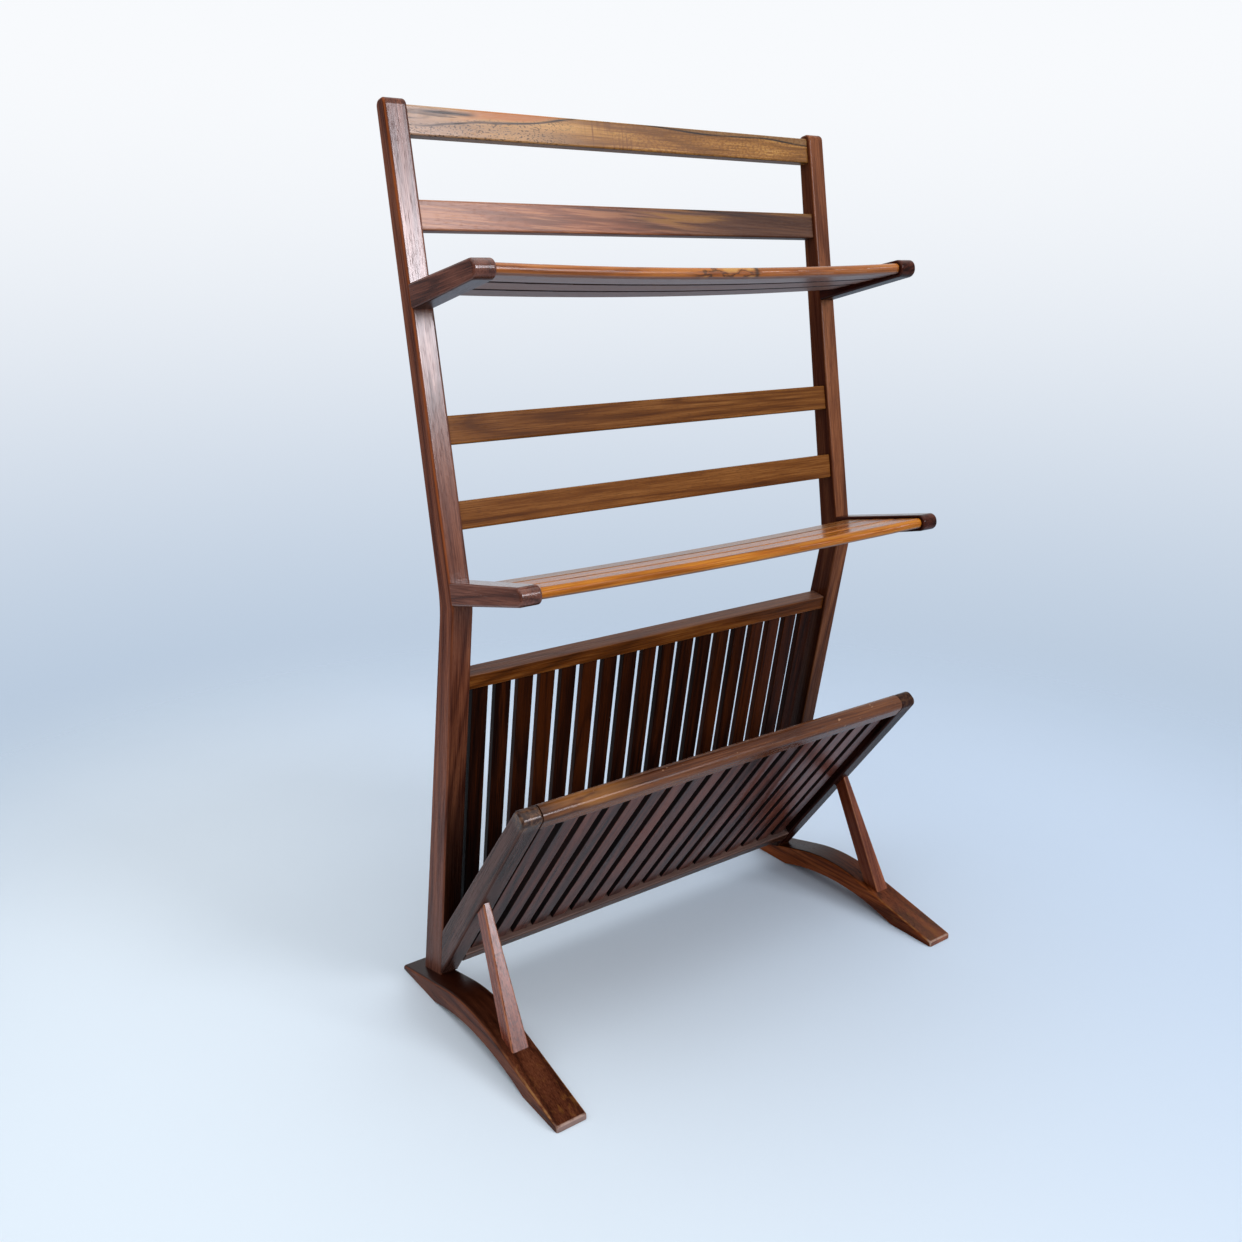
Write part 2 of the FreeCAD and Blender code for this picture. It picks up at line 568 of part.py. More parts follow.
arch.setExpression(f"Constraints[{arch_constraint}]", cell("arch_radius"))
volume_before = foot.Shape.Volume
arch_pocket = foot.newObject("PartDesign::Pocket", "foot_arch")
arch_pocket.Profile = arch
arch_pocket.SideType = "Symmetric"
bind(arch_pocket, Length="foot_width + 2 * edge_round")
doc.recompute()
if volume_before - foot.Shape.Volume < 1:
    raise RuntimeError("the arch takes nothing from the foot")
heel_height = number("heel_height")
round_edges(foot, "foot_edges", "edge_round",
            on_sides(number("foot_width") / 2, keep=lambda point: point.z > heel_height + NEAR))

# Posts: bent, deepest at the foot
post = doc.addObject("PartDesign::Body", "post_bar")
put(post, "ground", "post_x")
top_y = "bend_y + post_rise * sin(upper_lean)"
top_z = "bend_z + post_rise * cos(upper_lean)"
back_top_y = f"{top_y} + post_top_depth * cos(upper_lean)"
back_top_z = f"{top_z} - post_top_depth * sin(upper_lean)"
back_root_y = "seat_y + post_root_depth * cos(heel_slope)"
back_root_z = "seat_z - post_root_depth * sin(heel_slope)"
pad(post, "post_pad", outline(post, "post_profile", [
    ("seat_y", "seat_z"), ("bend_y", "bend_z"), (top_y, top_z), (back_top_y, back_top_z),
    ("bend_y + post_bend_depth", "bend_z"), (back_root_y, back_root_z)]), "post_width")
for name, y, z in (("post_top_front", top_y, top_z), ("post_top_back", back_top_y, back_top_z)):
    round_edges(post, name, "post_top_round", across_at(number(y), number(z)))
for name, radius, y in (("post_bend_front", "bend_round", "bend_y"),
                        ("post_bend_back", "bend_hollow", "bend_y + post_bend_depth")):
    round_edges(post, name, radius, across_at(number(y), number("bend_z")))
seat_top = number("seat_z")
round_edges(post, "post_edges", "edge_round",
            on_sides(number("post_width") / 2, keep=lambda point: point.z > seat_top + NEAR))

# Stiles: mitred on the posts, leaning forward, thinner toward their round tops
stile = doc.addObject("PartDesign::Body", "stile_bar")
put(stile, "panel", "post_x")
pad(stile, "stile_pad", outline(stile, "stile_profile", [
    ("0", "stile_tip"), ("stile_tip * mitre_slope", "stile_tip"), ("crotch_z * mitre_slope", "crotch_z"),
    ("stile_top_thickness", "panel_length"), ("0", "panel_length")]), "post_width")
for name, y in (("stile_top_front", "0"), ("stile_top_back", "stile_top_thickness")):
    round_edges(stile, name, "bullnose_round", across_at(number(y), number("panel_length")))
crotch = number("crotch_z")
round_edges(stile, "stile_edges", "edge_round",
            on_sides(number("post_width") / 2, keep=lambda point: point.z > crotch + NEAR))

# Struts: from the foot up to the stile's front, their outer faces tapered
strut = doc.addObject("PartDesign::Body", "strut_bar")
put(strut, "ground", "strut_x + strut_root_width / 2")
pad(strut, "strut_pad", outline(strut, "strut_profile", [
    ("strut_y", "strut_z"), ("strut_back_y", "strut_back_z"),
    ("strut_back_y + strut_back_reach * sin(strut_lean)",
     "strut_back_z + strut_back_reach * cos(strut_lean)"),
    ("strut_y + strut_front_reach * sin(strut_lean)",
     "strut_z + strut_front_reach * cos(strut_lean)")]), "strut_root_width")
strut_side = doc.addObject("Part::Box", "strut_side")
bind(strut_side, Length="strut_root_width", Width="foot_length", Height="panel_length",
     Placement="placement(vector(strut_x + strut_root_width; -foot_length / 2; strut_z); "
               "rotation(vector(0; 1; 0); -strut_taper))")
strut_tools = [strut_side]

# Stile dowels, square to the posts' front faces
stile_dowels = []
for step in range(2):
    sizes = ("frame_width / 2 - stile_dowel_cover", "-stile_dowel_in_stile",
             f"(seat_z - bend_z) / cos(lower_lean) + stile_dowel_rise + {step} * stile_dowel_spacing")
    stile_dowels.append(rod(f"stile_dowel_{step + 1}", "dowel_diameter",
                            "stile_dowel_in_stile + stile_dowel_in_post", *sizes, "lower"))
    hole = rod(f"stile_dowel_hole_{step + 1}", "dowel_diameter + 2 * fit_clearance",
               "stile_dowel_in_stile + stile_dowel_in_post + 2 * fit_clearance", sizes[0],
               f"{sizes[1]} - fit_clearance", sizes[2], "lower")
    stile_tools.append(hole)
    post_tools.append(hole)

# Strut dowels: one up from the foot along the strut, one into the stile square to its front
lower_x = "strut_x + strut_root_width / 2"
tip_x = "strut_x + strut_tip_width / 2"
half_dowel = "strut_dowel_length / 2"
lower_dowel = ("strut_dowel_diameter", "strut_dowel_length", lower_x,
               f"strut_dowel_y - {half_dowel} * sin(strut_lean)",
               f"strut_dowel_z - {half_dowel} * cos(strut_lean)",
               "ground", "-strut_lean")
upper_dowel = ("strut_dowel_diameter", "strut_dowel_length", tip_x,
               f"strut_tip_y - {half_dowel} * cos(panel_lean)",
               f"strut_tip_z - {half_dowel} * sin(panel_lean)",
               "ground", "panel_lean - 90")
strut_dowels = []
foot_tools = []
for name, place in (("lower", lower_dowel), ("upper", upper_dowel)):
    strut_dowels.append(rod(f"strut_dowel_{name}", *place))
    hole = rod(f"strut_dowel_hole_{name}", f"{place[0]} + 2 * fit_clearance", *place[1:])
    strut_tools.append(hole)
    (foot_tools if name == "lower" else stile_tools).append(hole)

# Foot screws: countersunk from below, up into the posts
foot_screws = []
for step in range(2):
    middle_x = "frame_width / 2 - screw_cover"
    middle_y = f"seat_y + screw_setback + {step} * screw_spacing"
    shank = rod(f"screw_shank_{step + 1}", "screw_diameter", "screw_length", middle_x, middle_y,
                "screw_recess", "ground", "0")
    head = doc.addObject("Part::Cone", f"screw_head_{step + 1}")
    bind(head, Radius1="screw_head_diameter / 2", Radius2="screw_diameter / 2", Height="screw_head_height")
    put(head, "ground", middle_x, middle_y, "screw_recess")
    foot_screws.append(fuse(f"foot_screw_{step + 1}", [shank, head]))
    hole = rod(f"screw_hole_{step + 1}", "screw_diameter + 2 * fit_clearance",
               "screw_recess + screw_length + fit_clearance", middle_x, middle_y, "0", "ground", "0")
    sink = doc.addObject("Part::Cone", f"screw_sink_{step + 1}")
    bind(sink, Radius1="screw_head_diameter / 2 + screw_recess + fit_clearance",
         Radius2="screw_diameter / 2 + fit_clearance", Height="screw_head_height + screw_recess")
    put(sink, "ground", middle_x, middle_y, "0")
    foot_tools += [hole, sink]
    post_tools.append(hole)

# Uprights, feet and struts with their joints, and their mirror images
for name, body, tools in (("post", post, post_tools), ("rack_front_stile", stile, stile_tools),
                          ("foot", foot, foot_tools), ("strut", strut, strut_tools)):
    piece = cut(f"{name}_cut", body, tools)
    node(piece, f"right_{name}")
    node(mirror(f"{name}_mirror", piece), f"left_{name}")

# Fasteners of both sides, one node for each kind
for name, fasteners in (("arm_dowels", arm_dowels), ("stile_dowels", stile_dowels),
                        ("strut_dowels", strut_dowels), ("foot_screws", foot_screws)):
    right = group(f"{name}_right", fasteners)
    node(group(f"{name}_both", [right, mirror(f"{name}_left", right)]), name)

# Check the whole document, then write each piece
doc.recompute()
for item in doc.Objects:
    if "Invalid" in item.State or "Error" in item.State:
        raise RuntimeError(f"{item.Name} failed: {item.State}")
os.makedirs("parts", exist_ok=True)
for item in nodes:
    if item.Shape.isNull() or not item.Shape.isValid() or not item.Shape.Solids:
        raise RuntimeError(f"{item.Label} has no valid solid")
for item in nodes:
    item.Shape.exportStep(f"parts/{item.Label}.step")
    extent = item.Shape.BoundBox
    print(f"{item.Label}: {len(item.Shape.Solids)} solid(s), {item.Shape.Volume / 1000:.1f} cm3, "
          f"x {extent.XMin:.1f} to {extent.XMax:.1f}, y {extent.YMin:.1f} to {extent.YMax:.1f}, "
          f"z {extent.ZMin:.1f} to {extent.ZMax:.1f}")
print(len(nodes), "nodes")
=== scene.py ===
# %% [markdown]
# # Bookshelf with a magazine rack
# The packed model is the frame of this scene: two bent posts on two feet, two slatted shelves on arms,
# four back rails and a rack of slats. Its shapes are already right, so this lesson is mostly about wood.
# Everything is in metres, with X across the front, +Y to the back and the floor at zero.

# %% The packed model
import bmesh
import bpy
import math
from mathutils import Matrix, Vector


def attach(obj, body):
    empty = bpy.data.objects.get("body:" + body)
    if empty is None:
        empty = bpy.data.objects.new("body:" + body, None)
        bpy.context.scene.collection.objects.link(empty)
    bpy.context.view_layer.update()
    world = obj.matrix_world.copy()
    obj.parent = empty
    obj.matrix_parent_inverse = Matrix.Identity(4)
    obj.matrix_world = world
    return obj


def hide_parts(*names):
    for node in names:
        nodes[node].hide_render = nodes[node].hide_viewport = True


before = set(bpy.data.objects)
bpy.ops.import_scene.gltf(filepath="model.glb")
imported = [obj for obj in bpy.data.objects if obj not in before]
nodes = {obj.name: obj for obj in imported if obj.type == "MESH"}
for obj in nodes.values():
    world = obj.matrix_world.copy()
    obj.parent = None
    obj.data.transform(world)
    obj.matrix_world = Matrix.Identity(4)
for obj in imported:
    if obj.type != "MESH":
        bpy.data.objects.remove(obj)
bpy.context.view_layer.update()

# %% [markdown]
# ## The camera
# The photograph looks from the front left and a little down. A camera could be placed by eye, but then no
# edge would fall where it does in the picture. So its place, turn and lens were fitted to the frame's
# straight edges, and they are written here as they came out. The lens's axis isn't quite in the middle of
# the picture, and a small shift allows for that.

# %% Camera
IMAGE_SIZE = 1242
FOCAL_PIXELS = 1133.3
AXIS_ROW = 662.7
SENSOR_WIDTH = 36.0
CAMERA_PLACE = (-0.8005, -0.9751, 0.8352)
CAMERA_DOWN = 19.196
CAMERA_RIGHT = 35.752

camera_data = bpy.data.cameras.new("camera")
camera_data.sensor_width = SENSOR_WIDTH
camera_data.lens = SENSOR_WIDTH * FOCAL_PIXELS / IMAGE_SIZE
camera_data.shift_y = (AXIS_ROW - IMAGE_SIZE / 2) / IMAGE_SIZE
camera = bpy.data.objects.new("camera", camera_data)
camera.location = CAMERA_PLACE
camera.rotation_euler = (math.radians(90 - CAMERA_DOWN), 0, math.radians(-CAMERA_RIGHT))
bpy.context.scene.collection.objects.link(camera)
bpy.context.scene.camera = camera
bpy.context.scene.view_settings.view_transform = "Standard"
print("lens:", round(camera_data.lens, 2), "mm, shift:", round(camera_data.shift_y, 4))

# %% [markdown]
# ## Shader sums written as Python
# A material is a net of nodes, and a net of Math nodes is hard to read. A small class wraps one socket
# and lets plus, minus and times add the Math nodes, so a mask reads like a formula. Every other node
# comes from one method that takes its type, its settings and what its sockets get. The backdrop of the
# scene is such a net too, so it uses the same class as the materials.


# %% Values
class Value:
    """One output of a node, usable in sums."""

    def __init__(self, net, socket):
        self.net = net
        self.socket = socket

    def math(self, operation, *others):
        """A Math node whose first number is this value."""
        sockets = dict(enumerate((self, *others)))
        return self.net.node("ShaderNodeMath", {"operation": operation}, sockets)

    def __add__(self, other):
        return self.math("ADD", other)

    def __sub__(self, other):
        return self.math("SUBTRACT", other)

    def __mul__(self, other):
        return self.math("MULTIPLY", other)

    def __truediv__(self, other):
        return self.math("DIVIDE", other)

    def __rsub__(self, other):
        return self.net.node("ShaderNodeMath", {"operation": "SUBTRACT"}, {0: other, 1: self})

    def __abs__(self):
        return self.math("ABSOLUTE")

    __radd__ = __add__
    __rmul__ = __mul__

    def rise(self, start, end):
        """A soft step from 0 at start to 1 at end."""
        sockets = {"Value": self, "From Min": start, "From Max": end}
        return self.net.node("ShaderNodeMapRange", {"interpolation_type": "SMOOTHSTEP"}, sockets)

    def near(self, target, reach):
        """1 where the value meets a target, fading to 0 at the reach."""
        return abs(self - target).rise(reach, 0.0)


print("a value is", Value.__doc__)

# %% Nets and finishes
# A Mix node has sockets for every kind of data. These are the ones for colours.
MIX_SHARE, MIX_FIRST, MIX_SECOND, MIX_RESULT = 0, 6, 7, 2


class Net:
    """A net of nodes that grows node by node."""

    def __init__(self, tree):
        self.tree = tree

    def feed(self, socket, value):
        """Links a value to a socket, or sets the socket where the value is plain."""
        if isinstance(value, Value):
            self.tree.links.new(value.socket, socket)
        else:
            socket.default_value = value

    def node(self, kind, settings=None, sockets=None, output=0):
        """Adds a node, sets it up, feeds its sockets and returns one of its outputs."""
        made = self.tree.nodes.new(kind)
        for name, value in (settings or {}).items():
            if name == "blend":
                made.color_ramp.interpolation = value
            elif name == "stops":
                for stop, (place, colour) in zip(made.color_ramp.elements, value):
                    stop.position = place
                    stop.color = colour
                for place, colour in value[len(made.color_ramp.elements):]:
                    made.color_ramp.elements.new(place).color = colour
            else:
                setattr(made, name, value)
        for name, value in (sockets or {}).items():
            self.feed(made.inputs[name], value)
        return Value(self, made.outputs[output])

    def mix(self, first, second, share):
        """Blends two colours, from the first at 0 to the second at 1."""
        sockets = {MIX_SHARE: share, MIX_FIRST: first, MIX_SECOND: second}
        return self.node("ShaderNodeMix", {"data_type": "RGBA"}, sockets, MIX_RESULT)


class Finish(Net):
    """A material with its shader."""

    def __init__(self, name):
        self.material = bpy.data.materials.new(name)
        self.material.use_nodes = True
        super().__init__(self.material.node_tree)
        self.shader = self.tree.nodes["Principled BSDF"]

    def set(self, **sockets):
        """Feeds sockets of the shader, whose names have underscores here instead of spaces."""
        for name, value in sockets.items():
            self.feed(self.shader.inputs[name.replace("_", " ")], value)


def tone(red, green, blue):
    """A colour as it is seen on a screen, 0 to 255, made linear for the shader."""
    shares = [channel / 255 for channel in (red, green, blue)]
    linear = [share / 12.92 if share <= 0.04045 else ((share + 0.055) / 1.055) ** 2.4 for share in shares]
    return (*linear, 1.0)


print("a screen's middle grey is", round(tone(128, 128, 128)[0], 3), "in linear light")

# %% [markdown]
# ## Floor
# The shelf stands on a plain pale floor, whose colour is painted a little brighter on its left as painted
# light. A floor that ends would show an edge behind the shelf. So this one is a single square that turns
# clear with distance, and the backdrop takes over.

# %% Floor
FLOOR_HALF = 4.0
FLOOR_DROP = 0.0004
FLOOR_FADE = (0.7, 1.7)
FLOOR_PAINTED_BRIGHT = tone(229, 241, 252)
FLOOR_PAINTED_DIM = tone(206, 223, 244)
FLOOR_PAINTED_FALLOFF = (-0.6, 0.7)
FLOOR_ROUGHNESS = 0.55

floor_mesh = bmesh.new()
bmesh.ops.create_grid(floor_mesh, x_segments=1, y_segments=1, size=FLOOR_HALF)
bmesh.ops.translate(floor_mesh, verts=floor_mesh.verts, vec=(0, 0, -FLOOR_DROP))
floor_data = bpy.data.meshes.new("floor")
floor_mesh.to_mesh(floor_data)
floor_mesh.free()
floor = bpy.data.objects.new("floor", floor_data)
bpy.context.scene.collection.objects.link(floor)

floor_paint = Finish("floor_paint")
place = floor_paint.node("ShaderNodeTexCoord", output="Object")
across = floor_paint.node("ShaderNodeSeparateXYZ", None, {0: place}, output="X")
distance = floor_paint.node("ShaderNodeVectorMath", {"operation": "LENGTH"}, {0: place}, output="Value")
# Painted light: the floor's colour is painted brighter on the left and dimmer on the right.
floor_painted_light = floor_paint.mix(FLOOR_PAINTED_BRIGHT, FLOOR_PAINTED_DIM, across.rise(*FLOOR_PAINTED_FALLOFF))
floor_paint.set(Base_Color=floor_painted_light, Roughness=FLOOR_ROUGHNESS, Specular_IOR_Level=0.0)
surface = Value(floor_paint, floor_paint.shader.outputs[0])
clear = floor_paint.node("ShaderNodeBsdfTransparent")
faded = floor_paint.node("ShaderNodeMixShader", None, {0: distance.rise(*FLOOR_FADE), 1: surface, 2: clear})
floor_paint.feed(floor_paint.tree.nodes["Material Output"].inputs["Surface"], faded)
floor_data.materials.append(floor_paint.material)
print("floor:", 2 * FLOOR_HALF, "m square")

# %% [markdown]
# ## Backdrop
# Behind the shelf everything is pale, whiter above than below. One flat colour would make the gloss look
# dead, and an image would have to travel with the script, so the colour follows the direction looked in.
# The camera sees it as it is, reflections find it dimmer on the left, and the wood gets a soft even light.

# %% Backdrop
BACKDROP_LOW = tone(184, 201, 221)
BACKDROP_HIGH = tone(248, 250, 253)
BACKDROP_LEFT = tone(124, 130, 138)
BACKDROP_RISE = (-0.38, 0.16)
BACKDROP_TURN = (-0.45, 0.05)
BACKDROP_LIGHT = 0.42

world = bpy.data.worlds.new("backdrop")
bpy.context.scene.world = world
world.use_nodes = True
backdrop = Net(world.node_tree)
backdrop.tree.nodes.remove(backdrop.tree.nodes["Background"])
direction = backdrop.node("ShaderNodeTexCoord", output="Generated")
across, height = [backdrop.node("ShaderNodeSeparateXYZ", None, {0: direction}, output=part) for part in "XZ"]
camera_ray, glossy_ray, clear_ray = [backdrop.node("ShaderNodeLightPath", output=f"Is {kind} Ray")
                                     for kind in ("Camera", "Glossy", "Transmission")]
plain = backdrop.mix(BACKDROP_LOW, BACKDROP_HIGH, height.rise(*BACKDROP_RISE))
reflected = backdrop.mix(BACKDROP_LEFT, plain, across.rise(*BACKDROP_TURN))
shown = backdrop.mix(reflected, plain, camera_ray)
seen = backdrop.node("ShaderNodeBackground", None, {"Color": shown, "Strength": 1.0})
light = backdrop.node("ShaderNodeBackground", None, {"Color": BACKDROP_HIGH, "Strength": BACKDROP_LIGHT})
looking = camera_ray.math("MAXIMUM", glossy_ray).math("MAXIMUM", clear_ray)
blend = backdrop.node("ShaderNodeMixShader", None, {0: looking, 1: light, 2: seen})
backdrop.feed(backdrop.tree.nodes["World Output"].inputs["Surface"], blend)
print("backdrop light:", BACKDROP_LIGHT)

# %% [markdown]
# ## Lamps
# One large window to the front right lights the real shelf. A single lamp can't give both its light and
# its long pale shine on the left post, the struts and the left ends of the rails. So three lamps stand for
# it: the first lights the wood, and the others only show in the gloss, the last as a faint edge beside the
# shine. A broad ceiling keeps the floor bright. A small lamp on the left reaches only the boards that turn
# their left faces to the camera, which would be too dark without it.


# %% Lamps
def lamp(name, place, aim, size, watts):
    """A soft rectangular lamp that looks at a point and doesn't show in the picture itself."""
    data = bpy.data.lights.new(name, "AREA")
    data.shape = "RECTANGLE"
    data.size, data.size_y = size
    data.energy = watts
    made = bpy.data.objects.new(name, data)
    made.location = place
    made.rotation_euler = (Vector(aim) - Vector(place)).to_track_quat("-Z", "Y").to_euler()
    made.visible_camera = False
    bpy.context.scene.collection.objects.link(made)
    return made


SHELF_MIDDLE = (0, 0, 0.7)
WINDOW_SIZE = (3.6, 2.8)
WINDOW_EDGE_SIZE = (2.0, 2.8)
WINDOW_TINT = (0.96, 0.93, 1.0)
CEILING_SIZE = (4.0, 4.0)
LEFT_SIZE = (0.8, 1.2)

window = lamp("window", (3.95, -8.1, 4.35), SHELF_MIDDLE, WINDOW_SIZE, watts=410)
window.visible_glossy = False
window_shine = lamp("window_shine", (2.75, -8.65, 4.35), SHELF_MIDDLE, WINDOW_SIZE, watts=960)
window_edge = lamp("window_edge", (5.0, -7.5, 4.2), SHELF_MIDDLE, WINDOW_EDGE_SIZE, watts=105)
for gloss_lamp in (window_shine, window_edge):
    gloss_lamp.visible_diffuse = False
    gloss_lamp.data.color = WINDOW_TINT
lamp("ceiling", (-0.7, -0.5, 3.0), (-0.7, -0.5, 0), CEILING_SIZE, watts=68)
left_lamp = lamp("left", (-1.15, 0.1, 0.6), (0, 0.1, 0.6), LEFT_SIZE, watts=3.2)
left_lamp.visible_glossy = False
left_lit = bpy.data.collections.new("left_lit")
left_lamp.light_linking.receiver_collection = left_lit

# %% [markdown]
# ## Wood
# The real frame is oiled, dark, reddish hardwood. A board shows slow bands and ring lines that run with
# its grain, fine fibres, and short dark pores. Image textures would be simpler but they can't be moved
# to another part, so noise that is drawn out along the grain makes all of it. Apart from the rack's slats,
# each piece has its own material: the pattern is centred on the piece, turned with its lean and given its
# own seed, so that no two boards look cut from the same spot.

# %% Measures of a board
ACROSS, DEEP, UP = 0, 1, 2
# Leans in degrees, negative to the back: the upper frame, the lower frame, the front panel, the struts, none.
UPPER, LOWER, PANEL, STRUT, LEVEL = -10.5, 9.5, 36.0, -27.6, 0.0
MILLIMETRES = 1000


def lean_turn(lean):
    """The turn about X that makes an upright board lean."""
    return Matrix.Rotation(math.radians(lean), 3, "X")


def measure(names, lean):
    """The middle and half sizes of one or more nodes, along their own leaning axes."""
    upright = lean_turn(-lean)
    points = [upright @ vertex.co for name in names for vertex in nodes[name].data.vertices]
    low = Vector([min(point[axis] for point in points) for axis in range(3)])
    high = Vector([max(point[axis] for point in points) for axis in range(3)])
    return lean_turn(lean) @ ((low + high) / 2), (high - low) / 2


rail_half = measure(["top_back_rail"], UPPER)[1]
print("top rail with its tenons:", [round(2 * length * MILLIMETRES, 1) for length in rail_half], "mm")


# %% A board's own axes
class Board(Finish):
    """The finish of one board, with masks of its places and faces along its own axes."""

    def __init__(self, name, centre, half, lean):
        super().__init__(name)
        self.half = half
        self.side = math.copysign(1, centre[ACROSS])
        turn = (math.radians(lean), 0, 0)
        place = self.node("ShaderNodeTexCoord", output="Object")
        self.local = self.node("ShaderNodeMapping", {"vector_type": "TEXTURE"},
                               {"Vector": place, "Location": centre, "Rotation": turn})
        normal = self.node("ShaderNodeTexCoord", output="Normal")
        normal = self.node("ShaderNodeMapping", {"vector_type": "TEXTURE"},
                           {"Vector": normal, "Rotation": turn})
        self.axes = self.split(self.local)
        self.facing = self.split(normal)

    def split(self, vector):
        """The three parts of a vector."""
        return [self.node("ShaderNodeSeparateXYZ", None, {0: vector}, output=axis) for axis in range(3)]

    def join(self, across, deep, up):
        """A vector from its three parts."""
        return self.node("ShaderNodeCombineXYZ", None, {ACROSS: across, DEEP: deep, UP: up})

    def share(self, axis):
        """The place along one of the board's axes, from -1 at one end to 1 at the other."""
        return self.axes[axis] / self.half[axis]

    def below_top(self):
        """How far a point is below the board's top, in metres."""
        return self.half[UP] - self.axes[UP]

    def pick(self, left, right):
        """The first for a board on the left of the frame, the second for one on the right."""
        return left if self.side < 0 else right

    def outward(self):
        """How far a face looks away from the middle of the frame, from -1 to 1."""
        return self.facing[ACROSS] * self.side

    def inner_face(self):
        """A mask of the face that looks at the other side of the frame."""
        return self.outward().rise(-0.5, -0.9)

    def front_face(self):
        """A mask of the face that looks to the front."""
        return self.facing[DEEP].rise(-0.6, -0.9)

    def underside(self, start=-0.6, end=-0.9):
        """A mask of the face that looks down."""
        return self.facing[UP].rise(start, end)

    def edges(self):
        """A mask of rounded and bevelled edges, whose faces look along none of the board's own axes."""
        straight = abs(self.facing[ACROSS]).math("MAXIMUM", abs(self.facing[DEEP]))
        straight = straight.math("MAXIMUM", abs(self.facing[UP]))
        return (1 - straight).rise(0.03, 0.16)


print("a board is", Board.__doc__)

# %% Wood recipe
BAND_WIDTH = 0.016
RING_WIDTH = 0.050
RING_PACE = 60
FIBRE_WIDTH = 0.0010
PORE_WIDTH = 0.0006
PORE_SHARE = 0.4
VEIN_SHARE = 0.4
SEED_STEP = (7.31, 3.17, 5.73)
BEND_HEIGHT = 0.504
RELIEF_STRENGTH = 0.12
RELIEF_DEPTH = 0.0005
COAT_ROUGHNESS = 0.2


class Wood(Board):
    """A board of oiled wood. Its grain runs along one of its own axes."""

    def __init__(self, name, centre, half, lean, grain, seed):
        super().__init__(name, centre, half, lean)
        self.grain = grain
        self.seed = [step * seed for step in SEED_STEP]

    def bend(self, centre):
        """Lets the grain of a bent post follow its bend."""
        rise = self.axes[UP] + (centre.z - BEND_HEIGHT)
        upper, lower = [math.tan(math.radians(-lean)) for lean in (UPPER, LOWER)]
        lag = (rise * upper).math("MAXIMUM", rise * lower)
        self.local = self.join(self.axes[ACROSS], self.axes[DEEP] - lag, self.axes[UP])

    def streaks(self, width, stretch, detail=2.0, distortion=0.0, shift=0):
        """Noise drawn out along the grain. The width is across the grain, in metres."""
        scale = [1 / width] * 3
        scale[self.grain] /= stretch
        start = [part + shift for part in self.seed]
        drawn = self.node("ShaderNodeMapping", None,
                          {"Vector": self.local, "Location": start, "Scale": scale})
        return self.node("ShaderNodeTexNoise", None,
                         {"Vector": drawn, "Scale": 1.0, "Detail": detail, "Distortion": distortion})

    def figure(self, dark, middle, pale):
        """The colour of plain grain between a dark, a middle and a pale tone."""
        self.bands = self.streaks(BAND_WIDTH, 16, detail=3.0, distortion=0.3)
        growth = self.streaks(RING_WIDTH, 14, detail=1.0, distortion=0.2, shift=2)
        self.rings = (growth * RING_PACE).math("SINE") * 0.5 + 0.5
        self.fibres = self.streaks(FIBRE_WIDTH, 50, shift=4)
        self.pores = self.streaks(PORE_WIDTH, 14, detail=0.0, shift=6).rise(0.62, 0.74)
        waves = (self.bands - 0.5) * 0.9 + (self.rings - 0.5) * 0.22 + (self.fibres - 0.5) * 1.1
        stops = [(0.1, dark), (0.5, middle), (0.9, pale)]
        colour = self.node("ShaderNodeValToRGB", {"stops": stops}, {0: waves + 0.5})
        veins = self.rings.rise(0.14, 0.0) * VEIN_SHARE
        return self.mix(colour, dark, (self.pores * PORE_SHARE).math("MAXIMUM", veins))

    def rub(self, colour, bare, wear):
        """Wears the finish off the edges, more here and less there."""
        patches = self.streaks(0.006, 8, shift=10).rise(0.25, 0.65)
        return self.mix(colour, bare, self.edges() * (patches * 0.7 + 0.3) * wear)

    def polish(self, colour, blur, shine, coat=0.0):
        """Sets the shader: colour, how blurred the gloss is, how strong, and an oil coat on top."""
        rough = (self.fibres - 0.5) * 0.12 + (self.bands - 0.5) * 0.10 + self.pores * 0.12 + blur
        relief = (self.fibres - 0.5) * 0.5 - self.pores * 0.6 + self.rings * 0.1
        bump = self.node("ShaderNodeBump", None,
                         {"Strength": RELIEF_STRENGTH, "Distance": RELIEF_DEPTH, "Height": relief})
        self.set(Base_Color=colour, Roughness=rough, Normal=bump, Specular_IOR_Level=shine, Coat_Weight=coat,
                 Coat_Roughness=COAT_ROUGHNESS)


widths = (RING_WIDTH, BAND_WIDTH, FIBRE_WIDTH, PORE_WIDTH)
print("rings, bands, fibres and pores:", [round(width * MILLIMETRES, 1) for width in widths], "mm wide")

# %% [markdown]
# ## Two back rails with marks of their own
# The two upper back rails are the boards that one would know again: the top one is pale with ink lines, the
# next has an olive swirl. Such figure could be painted on an image, but a formula stays sharp at any size.
# Places along and across a board run from -1 to 1, which keeps the marks on the board.

# %% Marks of the top rail
UNDERSIDE_SHADE = tone(40, 22, 12)
PALE_END_AND_SHINE = tone(204, 164, 120)
GREY_END_AND_SHINE = tone(158, 138, 136)
ORANGE_CORNER = tone(182, 106, 54)
DULL_EDGE = tone(120, 92, 60)
RIPPLE_BROWN = tone(112, 70, 32)
SPECK_BROWN = tone(110, 66, 24)
INK = tone(12, 7, 7)


def shaded_underside(wood, colour):
    """Painted shade: the underside of a rail is painted darker."""
    return wood.mix(colour, UNDERSIDE_SHADE, wood.underside() * 0.5)


